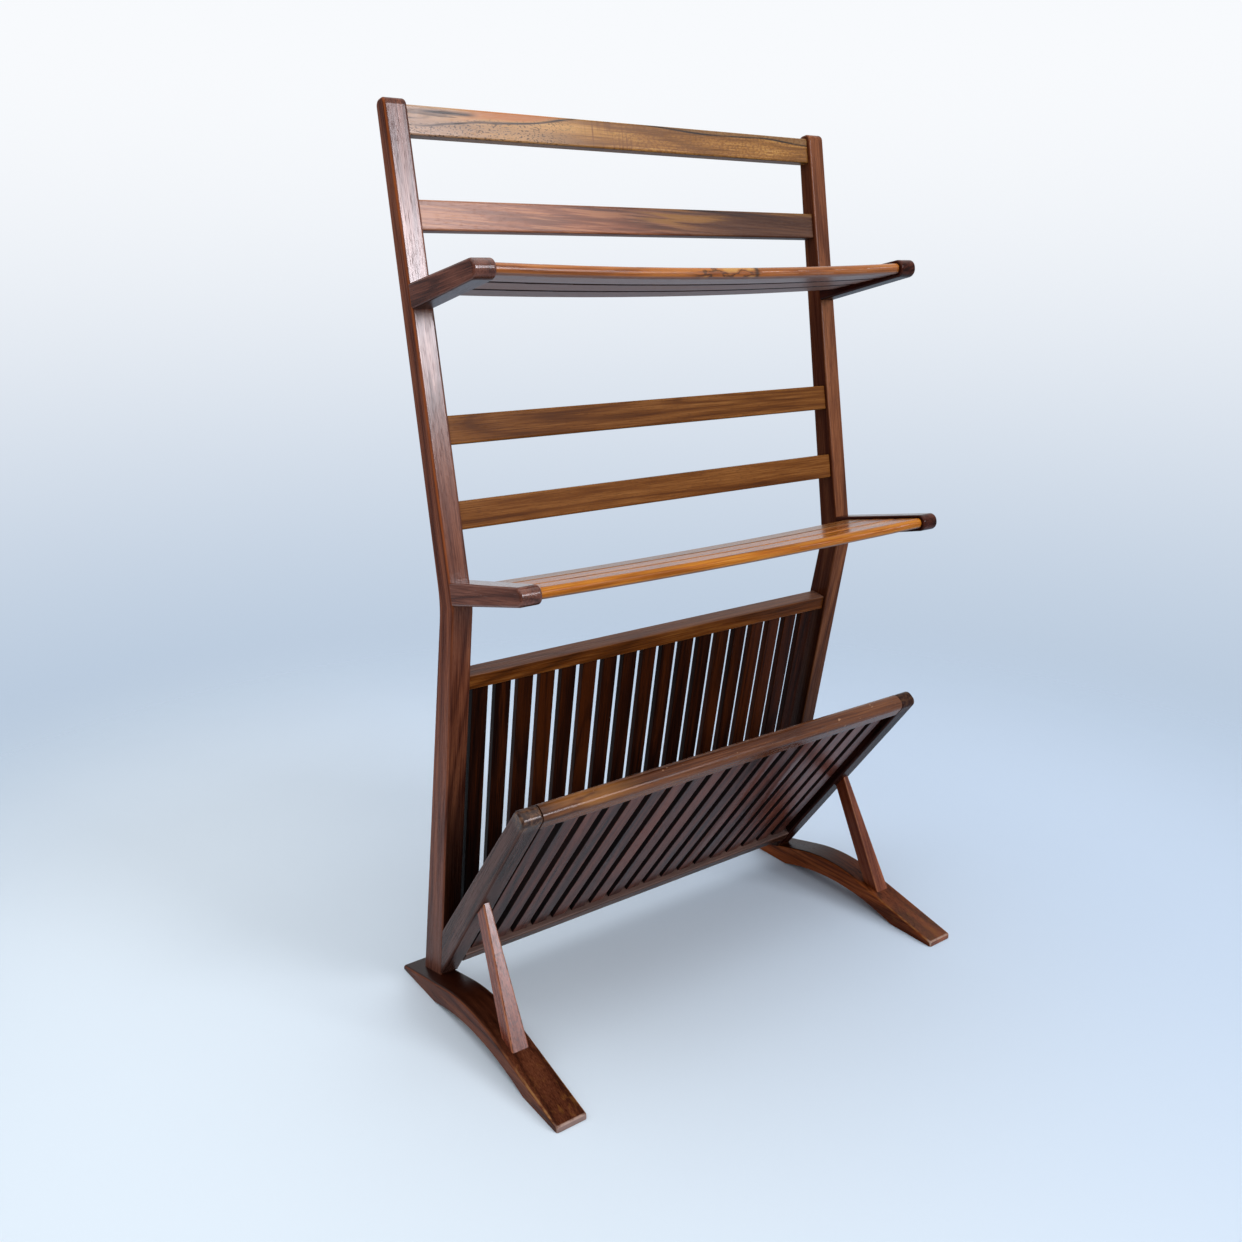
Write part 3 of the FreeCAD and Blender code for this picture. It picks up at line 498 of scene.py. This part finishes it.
def top_rail_marks(wood, colour):
    """A pale, grey left end, partly the wood's own grey and partly a painted reflection of the window, with
    ink lines and an orange corner, ripples, and a dotted golden right half.
    """
    along = wood.share(ACROSS)
    height = wood.share(UP)
    wobble = (wood.streaks(0.012, 4, shift=12) - 0.5) * 0.3
    left_line = along.rise(-0.92, -0.62) * 0.48 + along.rise(-0.60, -0.12) * 0.95 - 0.3 + wobble
    right_line = 1.05 - along.rise(-0.05, 0.42) * 0.42 + along.near(0.68, 0.2) * 0.07
    right_line = right_line - along.rise(0.7, 1.02) * 0.28
    over_left = height - left_line
    over_right = height - right_line
    above_left = over_left.rise(0.0, 0.3)

    # Painted reflection: the left end is made paler and greyer, partly the wood's own grey and partly the
    # window's shine.
    colour = wood.mix(colour, PALE_END_AND_SHINE, along.rise(-0.1, -0.5) * 0.4)
    colour = wood.mix(colour, GREY_END_AND_SHINE, along.rise(-0.58, -0.98) * 0.5)
    corner = above_left * along.rise(-0.84, -0.60) * along.rise(-0.2, -0.36)
    colour = wood.mix(colour, ORANGE_CORNER, corner * (wood.bands * 0.8 + 0.3))
    colour = wood.mix(colour, DULL_EDGE, over_right.rise(0.0, 0.1) * along.rise(0.0, 0.15) * 0.7)
    ripples = wood.streaks(0.05, 0.10, detail=1.0, shift=16) - 0.5
    colour = wood.mix(colour, RIPPLE_BROWN, (ripples * along.near(-0.07, 0.24)).rise(0.01, 0.14) * 0.8)
    specks = wood.streaks(0.0022, 1.8, shift=22).rise(0.47, 0.57) * along.rise(-0.25, 0.05)
    colour = wood.mix(colour, SPECK_BROWN, specks * 0.6)

    ragged = wood.streaks(0.004, 9, shift=14) * 1.6 + 0.2
    lines = over_left.near(0.0, 0.14) * along.rise(-1.0, -0.84) * along.rise(-0.2, -0.27)
    lines = lines + over_right.near(0.0, 0.12) * along.rise(0.03, 0.12)
    lines = lines + height.near(0.60, 0.24) * along.rise(-0.97, -0.88) * along.rise(-0.66, -0.73)
    dashes = wood.streaks(0.0010, 2.6, detail=0.0, shift=20).rise(0.60, 0.67)
    dashes = dashes * along.rise(-0.15, -0.45) * (1 - above_left)
    smoke = wood.streaks(0.004, 12, detail=3.0, distortion=0.4, shift=18).rise(0.48, 0.62)
    smoke = smoke * height.near(0.25, 0.9) * along.rise(-0.60, -0.86)
    ink = (lines * ragged).math("MAXIMUM", dashes * 0.75).math("MAXIMUM", smoke * 0.75)
    return shaded_underside(wood, wood.mix(colour, INK, ink.math("MINIMUM", 0.95)))


print("top rail:", top_rail_marks.__doc__)

# %% Marks of the second rail
SALMON_STREAK = tone(200, 140, 98)
BROWN_STREAK = tone(88, 45, 26)
PAINTED_SHINE_LEFT = tone(196, 150, 128)
DARK_HALF = tone(58, 32, 16)
OLIVE = tone(156, 110, 50)
SWIRL_BROWN = tone(30, 17, 9)
STREAK_SLANT = 0.045


def second_rail_marks(wood, colour):
    """Salmon wood on the left with a painted reflection of the window at its end, dark on the right, an olive
    swirl, and streaks that slant a little.
    """
    along = wood.share(ACROSS)
    height = wood.share(UP)
    slanting = wood.axes[UP] + wood.axes[ACROSS] * STREAK_SLANT
    wood.local = wood.join(wood.axes[ACROSS], wood.axes[DEEP], slanting)
    streak = wood.streaks(0.0026, 34, detail=3.0, distortion=0.1, shift=12)
    colour = wood.mix(colour, SALMON_STREAK, streak.rise(0.50, 0.58) * 0.5)
    colour = wood.mix(colour, BROWN_STREAK, streak.rise(0.47, 0.39) * 0.5)
    # Painted reflection: the left end is made paler and pinker, standing in for the window's shine.
    colour = wood.mix(colour, PAINTED_SHINE_LEFT, along.rise(0.0, -0.9) * 0.3)
    colour = wood.mix(colour, DARK_HALF, (along + height * 0.12).rise(-0.40, 0.50) * 0.85)
    swirl = (height + along.near(0.15, 0.5) * 0.9).rise(0.0, 1.0)
    swirl = swirl * along.rise(-0.15, 0.15) * along.rise(1.4, 0.5)
    flow = wood.streaks(0.0045, 26, detail=3.0, distortion=0.5, shift=14)
    colour = wood.mix(colour, OLIVE, swirl * flow.rise(0.46, 0.60) * 0.7)
    colour = wood.mix(colour, SWIRL_BROWN, swirl * flow.rise(0.46, 0.36) * 0.75)
    return shaded_underside(wood, colour)


print("second rail:", second_rail_marks.__doc__)

# %% [markdown]
# ## Shelf slats
# The shelves are orange on top. Below, a greyish painted reflection of the pale floor lies over them, and the
# sides that look into the gaps between the slats have painted shade. A separate material for each face would
# need the faces sorted, so masks of the direction that a face looks in do it. One slat has a patch of cream
# sapwood on its front edge.

# %% Marks of the shelves
UNDERSIDE_REFLECTION = tone(122, 97, 90)
GAP_SHADE = tone(28, 11, 7)
SAPWOOD = tone(196, 146, 78)
SAP_SPECK = tone(62, 38, 16)
SAP_END = tone(52, 30, 12)
SAP_DEPTH = (0.018, 0.007)
WIDE_UNDER = (-0.5, -0.8)


def slat_marks(wood, colour, toward_gap):
    """A painted reflection of the pale floor on the underside, and painted shade on the sides that look into
    a gap.
    """
    colour = wood.mix(colour, UNDERSIDE_REFLECTION, wood.underside(*WIDE_UNDER) * 0.85)
    gap = toward_gap.rise(0.1, 0.35) * wood.facing[UP].rise(0.5, 0.1)
    return wood.mix(colour, GAP_SHADE, gap * 0.95)


def front_slat_marks(wood, colour):
    """A front slat has painted shade on its side toward the gap behind it."""
    return slat_marks(wood, colour, wood.facing[DEEP])


def inner_slat_marks(wood, colour):
    """A middle or rear slat has painted shade on both sides."""
    return slat_marks(wood, colour, abs(wood.facing[DEEP]))


def nose_marks(wood, colour):
    """A cream sapwood patch with dark specks on the upper shelf's front edge."""
    along = wood.share(ACROSS)
    patch = wood.streaks(0.009, 3, detail=3.0, distortion=0.4, shift=12)
    edge = (wood.axes[DEEP] + wood.half[DEEP]).rise(*SAP_DEPTH)
    here = edge * (along + (patch - 0.5) * 0.2).rise(-0.18, -0.10) * along.rise(0.20, 0.13)
    colour = wood.mix(colour, SAPWOOD, here * patch.rise(0.46, 0.6) * 0.85)
    colour = wood.mix(colour, SAP_SPECK, here * patch.near(0.44, 0.05) * 0.85)
    colour = wood.mix(colour, SAP_END, edge * along.near(0.17, 0.02) * patch.rise(0.36, 0.46) * 0.9)
    return front_slat_marks(wood, colour)


print("shelf slats:", slat_marks.__doc__, nose_marks.__doc__)

# %% [markdown]
# ## Feet, posts, struts and arms
# The frame's own boards are red-brown and show where they were touched: toes scuffed by shoes, struts whose
# shine has worn through in spots. Painted shade darkens the posts inside the rack and the inner faces and
# undersides of posts, struts and arms. All of it follows from where a point is on its board and which way it
# faces, so no part of it has to be painted by hand.

# %% Marks of the feet
DARK_TOP_AND_SHADE = tone(30, 7, 2)
TOE_DUST = tone(110, 90, 78)
SCUFF = tone(120, 76, 36)
WORN_RIM = tone(150, 104, 62)
TOE_FRONT_REFLECTION = tone(150, 128, 122)
TOE_TIP_WEAR_AND_HIGHLIGHT = tone(160, 138, 130)


def foot_marks(wood, colour):
    """A darker top, darker still toward the back as painted shade, a dusty right toe, golden scuffs along the
    toe, a painted reflection of the window on the left toe's front, and a rim at the tip worn grey by shoes
    that also carries a painted highlight.
    """
    along = wood.share(DEEP)
    top = wood.facing[UP].rise(0.6, 0.9)
    toe = along.rise(-0.3, -0.8)
    rim = wood.edges()
    scuffs = wood.streaks(0.006, 3, detail=4.0, distortion=0.8, shift=12)
    # Painted shade: the top darkens toward the back, where the frame shades it.
    colour = wood.mix(colour, DARK_TOP_AND_SHADE, top * (along.rise(-0.6, 0.4) * 0.65 + 0.3))
    if wood.side > 0:
        colour = wood.mix(colour, TOE_DUST, top * along.rise(-0.3, -0.9) * 0.2)
    colour = wood.mix(colour, SCUFF, scuffs.rise(0.54, 0.72) * toe * 0.45)
    colour = wood.mix(colour, WORN_RIM, rim * toe * scuffs.rise(0.34, 0.6) * 0.8)
    # Painted reflection of the window on the toe's front, strong on the left foot.
    colour = wood.mix(colour, TOE_FRONT_REFLECTION, wood.front_face() * wood.pick(0.7, 0.2))
    # The tip's rim is worn and also carries a painted highlight.
    return wood.mix(colour, TOE_TIP_WEAR_AND_HIGHLIGHT, rim * along.rise(-0.95, -0.985) * scuffs.rise(0.25, 0.6) * 0.7)


print("feet:", foot_marks.__doc__)

# %% Marks of the posts, struts and arms
POST_INNER_SHADE = tone(56, 12, 2)
LOW_OUTER_GREY = tone(62, 46, 44)
RACK_POCKET_SHADE = tone(16, 4, 1)
STRUT_SPOT = tone(64, 26, 18)
STRUT_INNER_SHADE = tone(72, 16, 1)
ARM_INNER_SHADE = tone(38, 6, 1)
ARM_UNDER_SHADE = tone(24, 9, 6)


def post_marks(wood, colour):
    """Painted shade on the inner face, a darker, greyer outer face low down, and painted shade on the other
    faces low inside the rack.
    """
    height = wood.axes[UP]
    outward = wood.outward()
    # Painted shade on the inner face.
    colour = wood.mix(colour, POST_INNER_SHADE, wood.inner_face() * 0.65)
    colour = wood.mix(colour, LOW_OUTER_GREY, outward.rise(0.3, 0.7) * height.rise(-0.28, -0.48) * 0.5)
    # Painted shade: the faces inside the rack darken toward the bottom.
    low = height.rise(wood.pick(-0.05, 0.05), -0.36)
    return wood.mix(colour, RACK_POCKET_SHADE, low * outward.rise(0.7, 0.3) * 0.85)


def strut_marks(wood, colour):
    """The front of a strut is mottled where its shine has worn through, and its inner face is painted deep
    red and dark as painted shade.
    """
    mottle = wood.streaks(0.0017, 2.5, distortion=0.3, shift=12).rise(0.50, 0.62)
    colour = wood.mix(colour, STRUT_SPOT, mottle * wood.front_face() * wood.pick(0.7, 0.3))
    # Painted shade on the inner face.
    return wood.mix(colour, STRUT_INNER_SHADE, wood.inner_face() * 0.5)


def arm_marks(wood, colour):
    """Painted shade: the underside of an arm is painted dark, and its inner face deep red and dark."""
    # Painted shade on the inner face and the underside.
    colour = wood.mix(colour, ARM_INNER_SHADE, wood.inner_face() * 0.5)
    return wood.mix(colour, ARM_UNDER_SHADE, wood.underside() * 0.7)


print("posts, struts and arms:", post_marks.__doc__, strut_marks.__doc__, arm_marks.__doc__)

# %% [markdown]
# ## Stiles and rails of the rack
# Hands have worn the round tops of the rack's stiles and the upper edge of its front rail, and pale dust with
# a painted sheen lies on two other rails. Worn spots could be modelled as dents, but they are too shallow to
# show a shape. So each is noise that is cut off hard and kept near the worn edge by a mask.

# %% Marks of the rack
LEFT_CAP = tone(46, 30, 25)
RIGHT_CAP = tone(48, 28, 22)
WORN_CAP = tone(150, 108, 76)
CAP_FADE = (0.020, 0.008)
WORN_GOLD = tone(150, 98, 48)
DARK_TIP = tone(66, 44, 34)
NICK = tone(176, 132, 100)
RAIL_DUST_AND_SHEEN = tone(112, 94, 90)


def stile_marks(wood, colour):
    """A round top: the left one is rubbed brown, the right one is still dark with oil."""
    top = wood.below_top().rise(*CAP_FADE)
    worn = wood.streaks(0.004, 2, detail=3.0, shift=12).rise(0.4, 0.7)
    cap = wood.mix(wood.pick(LEFT_CAP, RIGHT_CAP), WORN_CAP, worn * wood.pick(0.40, 0.24))
    return wood.mix(colour, cap, top * 0.85)


def front_rail_marks(wood, colour):
    """Small pale nicks on the upper edge, and a worn golden top by a dark left end."""
    along = wood.share(ACROSS)
    top = wood.facing[UP].rise(0.1, 0.6)
    worn = wood.streaks(0.012, 5, detail=3.0, distortion=0.4, shift=14).rise(0.3, 0.6)
    colour = wood.mix(colour, WORN_GOLD, worn * top * along.near(-0.74, 0.30) * 0.75)
    colour = wood.mix(colour, DARK_TIP, along.rise(-0.90, -1.0) * 0.7)
    nicks = wood.streaks(0.006, 1.5, shift=12).rise(0.68, 0.75)
    return wood.mix(colour, NICK, nicks * wood.share(UP).rise(0.0, 1.0) * 0.8)


def dust_and_sheen_top(wood, colour):
    """Pale dust and a painted sheen lie on the upper side of a rack rail."""
    return wood.mix(colour, RAIL_DUST_AND_SHEEN, wood.facing[UP].rise(0.3, 0.8) * 0.4)


print("rack:", stile_marks.__doc__, front_rail_marks.__doc__, dust_and_sheen_top.__doc__)

# %% [markdown]
# ## Which board is which
# Each row names a piece, how it leans, which way its grain runs, its dark, middle and pale tones, how
# blurred its gloss is, how strong, and its marks. The tones were matched to the photograph piece by
# piece: the top rail is the palest, the shelves are orange and the rack is nearly black at its bottom. The
# left post and strut take a fuller shine from the window.

# %% Tones
FRAME_RED = (tone(52, 20, 12), tone(100, 54, 37), tone(136, 80, 54))
FRAME_ORANGE = (tone(60, 25, 11), tone(116, 67, 41), tone(160, 101, 64))
STRUT_RED = (tone(60, 24, 15), tone(106, 52, 37), tone(140, 80, 60))
STRUT_ORANGE = (tone(76, 30, 12), tone(126, 65, 40), tone(162, 97, 64))
FOOT_RED = (tone(36, 14, 7), tone(84, 42, 25), tone(118, 68, 44))
FOOT_ORANGE = (tone(52, 19, 6), tone(112, 52, 22), tone(150, 82, 42))
ARM_DARK = (tone(38, 15, 10), tone(92, 51, 38), tone(130, 82, 66))
ARM_BLACK = (tone(16, 4, 1), tone(54, 19, 10), tone(90, 46, 32))
STILE_RED = (tone(30, 14, 11), tone(64, 40, 34), tone(92, 62, 54))
STILE_DARK = (tone(10, 3, 1), tone(34, 10, 6), tone(58, 28, 20))
TOP_RAIL = (tone(104, 64, 20), tone(162, 111, 50), tone(200, 151, 80))
SECOND_RAIL = (tone(86, 46, 28), tone(140, 84, 56), tone(172, 114, 82))
RAIL_BROWN = (tone(82, 43, 13), tone(120, 71, 28), tone(154, 102, 52))
SHELF_FRONT = (tone(92, 42, 8), tone(148, 80, 27), tone(184, 114, 50))
SHELF_LOW = (tone(114, 58, 10), tone(170, 95, 24), tone(206, 136, 50))
SHELF_ORANGE = (tone(108, 54, 12), tone(162, 90, 30), tone(196, 128, 56))
SHELF_BACK = (tone(84, 46, 18), tone(132, 80, 36), tone(166, 112, 62))
RACK_RAIL = (tone(56, 26, 6), tone(98, 50, 14), tone(138, 84, 36))
FRONT_RAIL = (tone(42, 18, 8), tone(86, 46, 25), tone(122, 74, 43))
LOWER_RAIL = (tone(36, 18, 12), tone(68, 42, 32), tone(104, 72, 58))
BEECH = (tone(158, 124, 84), tone(182, 148, 106), tone(200, 168, 128))
print("palest tone of the top rail:", [round(part, 3) for part in TOP_RAIL[-1]])

# %% Boards
boards = []
for side in ("left", "right"):
    left = side == "left"
    post, foot = (FRAME_RED, FOOT_RED) if left else (FRAME_ORANGE, FOOT_ORANGE)
    arm, stile = (ARM_DARK, STILE_RED) if left else (ARM_BLACK, STILE_DARK)
    strut = STRUT_RED if left else STRUT_ORANGE
    boards.append((f"{side}_post", LEVEL, UP, post, 0.28, 0.07, post_marks))
    boards.append((f"{side}_foot", LEVEL, DEEP, foot, 0.30, 0.06, foot_marks))
    boards.append((f"{side}_strut", STRUT, UP, strut, 0.24, 0.30 if left else 0.10, strut_marks))
    boards.append((f"{side}_rack_front_stile", PANEL, UP, stile, 0.28, 0.12 if left else 0.05, stile_marks))
    for shelf in ("upper", "lower"):
        shine = 0.30 if left else 0.07
        boards.append((f"{shelf}_shelf_{side}_arm", UPPER, DEEP, arm, 0.14, shine, arm_marks))
boards.append(("upper_shelf_front_slat", UPPER, ACROSS, SHELF_FRONT, 0.18, 0.29, nose_marks))
boards.append(("lower_shelf_front_slat", UPPER, ACROSS, SHELF_LOW, 0.22, 0.10, front_slat_marks))
for shelf in ("upper", "lower"):
    boards.append((f"{shelf}_shelf_middle_slat", UPPER, ACROSS, SHELF_ORANGE, 0.25, 0.16, inner_slat_marks))
    boards.append((f"{shelf}_shelf_rear_slat", UPPER, ACROSS, SHELF_BACK, 0.25, 0.16, inner_slat_marks))
boards.append(("top_back_rail", UPPER, ACROSS, TOP_RAIL, 0.26, 0.19, top_rail_marks))
boards.append(("second_back_rail", UPPER, ACROSS, SECOND_RAIL, 0.26, 0.17, second_rail_marks))
# The third and fourth rails get only the painted shade under them.
boards.append(("third_back_rail", UPPER, ACROSS, RAIL_BROWN, 0.32, 0.05, shaded_underside))
boards.append(("fourth_back_rail", UPPER, ACROSS, RAIL_BROWN, 0.32, 0.05, shaded_underside))
boards.append(("rack_back_top_rail", LOWER, ACROSS, RACK_RAIL, 0.28, 0.06, dust_and_sheen_top))
boards.append(("rack_back_bottom_rail", LOWER, ACROSS, RACK_RAIL, 0.30, 0.06, None))
boards.append(("rack_front_top_rail", PANEL, ACROSS, FRONT_RAIL, 0.17, 0.21, front_rail_marks))
boards.append(("rack_front_bottom_rail", PANEL, ACROSS, LOWER_RAIL, 0.30, 0.08, dust_and_sheen_top))
boards.append(("arm_dowels", UPPER, DEEP, BEECH, 0.45, 0.10, None))
boards.append(("stile_dowels", LOWER, DEEP, BEECH, 0.45, 0.10, None))
boards.append(("strut_dowels", STRUT, UP, BEECH, 0.45, 0.10, None))
print("boards:", len(boards))

# %% [markdown]
# ## Wear, blur and oil
# Three things differ by the kind of board rather than by the board: how its edges are worn, with a painted
# highlight on the edges of posts and struts, where its gloss is dull, and where a coat of oil still lies.
# They could be columns of the rows above, but most boards would leave them empty, so short functions ask what
# kind of board it is.

# %% Wear, blur and oil
# Pale edge colours: on posts and struts partly wear and partly a painted highlight.
EDGE_WEAR_AND_GLINT = {"post": (tone(150, 78, 36), 0.7), "strut": (tone(206, 132, 78), 0.85),
             "arm": (tone(104, 62, 50), 0.4)}
USUAL_WEAR = 0.5
DULL_UNDER = 0.18
BRIGHT_NOSE = 0.06
FRONT_COAT = {"left_post": 0.76, "right_post": 0.06, "right_strut": 0.13}
CAP_COAT = 0.24
CAP_COAT_FADE = (0.024, 0.010)


def worn_and_glinting_edges(wood, kind, colour, pale):
    """Edges rubbed bare, on a post only the outer edges of its upper half. On posts and struts the pale edge
    is partly wear and partly a painted highlight.
    """
    bare, wear = EDGE_WEAR_AND_GLINT.get(kind, (pale, USUAL_WEAR))
    if kind == "post":
        wear = wood.outward().rise(0.15, 0.4) * wood.axes[UP].rise(-0.15, 0.15) * wear
    return wood.rub(colour, bare, wear)


def gloss_blur(wood, name, kind, blur):
    """A gloss that is duller under slats, arms and back rails, and brighter on the nose of an arm."""
    if name.endswith(("_slat", "_arm", "_back_rail")):
        blur = wood.underside(*WIDE_UNDER) * DULL_UNDER + blur
    if kind == "arm":
        blur = blur - wood.facing[DEEP].rise(-0.2, -0.5) * BRIGHT_NOSE
    return blur


def oil_coat(wood, name, kind):
    """Oil on the fronts of the posts and the right strut, and on the left stile's top."""
    if name == "left_rack_front_stile":
        return wood.below_top().rise(*CAP_COAT_FADE) * CAP_COAT
    if name not in FRONT_COAT:
        return 0.0
    oiled = wood.fibres * 1.4 + wood.bands * 0.6 - wood.pores * 0.6
    coat = wood.facing[DEEP].rise(-0.7, -0.95) * oiled * FRONT_COAT[name]
    if kind == "post":
        height = wood.axes[UP]
        coat = coat * height.rise(-0.15, 0.30) * (height.rise(0.49, 0.30) * 0.65 + 0.35)
    return coat


print("oil on the fronts:", FRONT_COAT)

# %% Board finishes
finishes = {}
for seed, (name, lean, grain, tones, blur, shine, marks) in enumerate(boards):
    kind = name.split("_")[-1]
    centre, half = measure([name], lean)
    wood = Wood(name, centre, half, lean, grain, seed)
    if kind == "post":
        wood.bend(centre)
    colour = worn_and_glinting_edges(wood, kind, wood.figure(*tones), tones[-1])
    if marks:
        colour = marks(wood, colour)
    wood.polish(colour, gloss_blur(wood, name, kind, blur), shine, oil_coat(wood, name, kind))
    finishes[name] = wood.material
print("finished boards:", len(finishes))

# %% [markdown]
# ## Rack slats
# The eighteen slats of a panel come from many offcuts, so neighbours differ: most are nearly black and a
# few are orange-brown. A material for each slat would do, but one serves a whole panel: it counts which
# slat a point is on and uses that number to pick the slat's tone and its own stretch of grain.

# %% Slat finishes
SLATS = 18
SLAT_WIDTH = 0.0195
# The count goes up this share of a pitch before a slat begins, so it changes in the gap.
COUNT_EARLY = 0.15
GRAIN_STEP = 0.53
BACK_SEED = 61
FRONT_SEED = 67
SLAT_BLUR = 0.30
SLAT_WEAR = 0.4
SIDE_BLUR = 0.65
# How orange each slat is, from the left, in tenths.
BACK_WARMTH = (1, 0, 3, 9, 3, 9, 2, 3, 2, 2, 2, 2, 8, 3, 9, 10, 4, 3)
FRONT_WARMTH = (1, 2, 5, 1, 6, 0, 8, 1, 5, 3, 0, 5, 1, 5, 4, 5, 6, 3)
BACK_TONES = (tone(9, 3, 2), tone(32, 11, 5), tone(72, 31, 8))
FRONT_TONES = (tone(9, 3, 3), tone(59, 29, 24), tone(110, 60, 46))


def slat_wood(panel, lean, seed, warmth, tones, shine, low_shade, side_shade):
    """The wood of all slats of a panel, with painted shade darkening their lower ends and their sides."""
    names = [f"rack_{panel}_slats_{pair:02d}" for pair in range(1, SLATS // 2 + 1)]
    centre, half = measure(names, lean)
    wood = Wood(f"rack_{panel}_slats", centre, half, lean, UP, seed)
    pitch = (2 * half.x - SLAT_WIDTH) / (SLATS - 1)
    index = ((wood.axes[ACROSS] + half.x) / pitch + COUNT_EARLY).math("FLOOR")
    wood.local = wood.join(wood.axes[ACROSS], wood.axes[DEEP], wood.axes[UP] + index * GRAIN_STEP)
    stops = [(count / SLATS, (share / 10, share / 10, share / 10, 1)) for count, share in enumerate(warmth)]
    warm = wood.node("ShaderNodeValToRGB", {"stops": stops, "blend": "CONSTANT"}, {0: (index + 0.5) / SLATS})
    black, usual, brown = tones
    colour = wood.mix(wood.figure(black, usual, brown), wood.figure(usual, brown, brown), warm)
    colour = wood.rub(colour, brown, SLAT_WEAR)
    blur = SLAT_BLUR
    if side_shade:
        # Painted shade on the sides that look into the gaps.
        shaded_sides = abs(wood.facing[ACROSS]).rise(0.5, 0.8) * side_shade
        colour = wood.mix(colour, black, shaded_sides)
        blur = shaded_sides * SIDE_BLUR + blur
    # Painted shade: darker toward the lower ends of the slats.
    colour = wood.mix(colour, black, wood.share(UP).rise(0.2, -0.9) * low_shade)
    wood.polish(colour, blur, shine)
    for name in names:
        finishes[name] = wood.material
    print(panel, "slats, pitch", round(pitch * MILLIMETRES, 2), "mm")


slat_wood("back", LOWER, BACK_SEED, BACK_WARMTH, BACK_TONES, shine=0.04, low_shade=0.75, side_shade=0.0)
slat_wood("front", PANEL, FRONT_SEED, FRONT_WARMTH, FRONT_TONES, shine=0.18, low_shade=0.15, side_shade=0.9)

# %% [markdown]
# ## Screws
# Four steel screws hold the posts from under the feet, out of sight. Turning marks could be modelled, but
# nobody would find them there, so fine noise in the roughness is enough.

# %% Steel of the screws
STEEL_GREY = tone(176, 176, 178)
TURNING_SCALE = 900.0

steel = Finish("screw_steel")
place = steel.node("ShaderNodeTexCoord", output="Object")
turned = steel.node("ShaderNodeTexNoise", None, {"Vector": place, "Scale": TURNING_SCALE, "Detail": 3.0})
steel.set(Base_Color=STEEL_GREY, Metallic=1.0, Roughness=turned * 0.2 + 0.25)
finishes["foot_screws"] = steel.material
print("finishes:", len(finishes))

# %% [markdown]
# ## Eased edges
# The slats and struts are sharp in the packed model, but a joiner takes every edge off with a stroke of
# sandpaper, and that thin facet is what catches the light. A Bevel modifier finds no shared edges in the
# loose triangles of a packed node. So these nodes are replaced: a copy of each is merged, its flat faces
# are joined and its long edges are bevelled.

# %% Eased slats and struts
SLAT_EASE = 0.0008
STRUT_EASE = 0.0016
MERGE_REACH = 1e-6
FLAT = math.radians(1)
SHARP = math.radians(30)
LONG = 0.05


def eased(name, width):
    """A copy of a node with its long sharp edges taken off, which replaces the node."""
    mesh = bmesh.new()
    mesh.from_mesh(nodes[name].data)
    bmesh.ops.remove_doubles(mesh, verts=mesh.verts, dist=MERGE_REACH)
    bmesh.ops.dissolve_limit(mesh, angle_limit=FLAT, verts=mesh.verts, edges=mesh.edges)
    long_edges = [edge for edge in mesh.edges
                  if edge.is_manifold and edge.calc_face_angle() > SHARP and edge.calc_length() > LONG]
    bmesh.ops.bevel(mesh, geom=long_edges, offset=width, offset_type="OFFSET", segments=2, profile=0.5,
                    affect="EDGES", material=-1)
    data = bpy.data.meshes.new(f"{name}_eased")
    mesh.to_mesh(data)
    mesh.free()
    data.materials.append(finishes[name])
    piece = bpy.data.objects.new(f"{name}_eased", data)
    bpy.context.scene.collection.objects.link(piece)
    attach(piece, "root")
    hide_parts(name)
    return piece


print("edges eased by", SLAT_EASE * MILLIMETRES, "mm on slats and", STRUT_EASE * MILLIMETRES, "mm on struts")

# %% Finishes on the pieces
LEFT_LIT = ("left_post", "left_foot", "left_strut", "left_rack_front_stile", "upper_shelf_left_arm",
            "lower_shelf_left_arm", "right_foot", "right_strut")

faces = 0
for name in finishes:
    if "_slats_" in name:
        piece = eased(name, SLAT_EASE)
        faces += len(piece.data.polygons)
    elif name.endswith("strut"):
        piece = eased(name, STRUT_EASE)
        faces += len(piece.data.polygons)
    else:
        piece = nodes[name]
        piece.data.materials.clear()
        piece.data.materials.append(finishes[name])
    if name in LEFT_LIT:
        left_lit.objects.link(piece)
print("eased faces:", faces)

# %% [markdown]
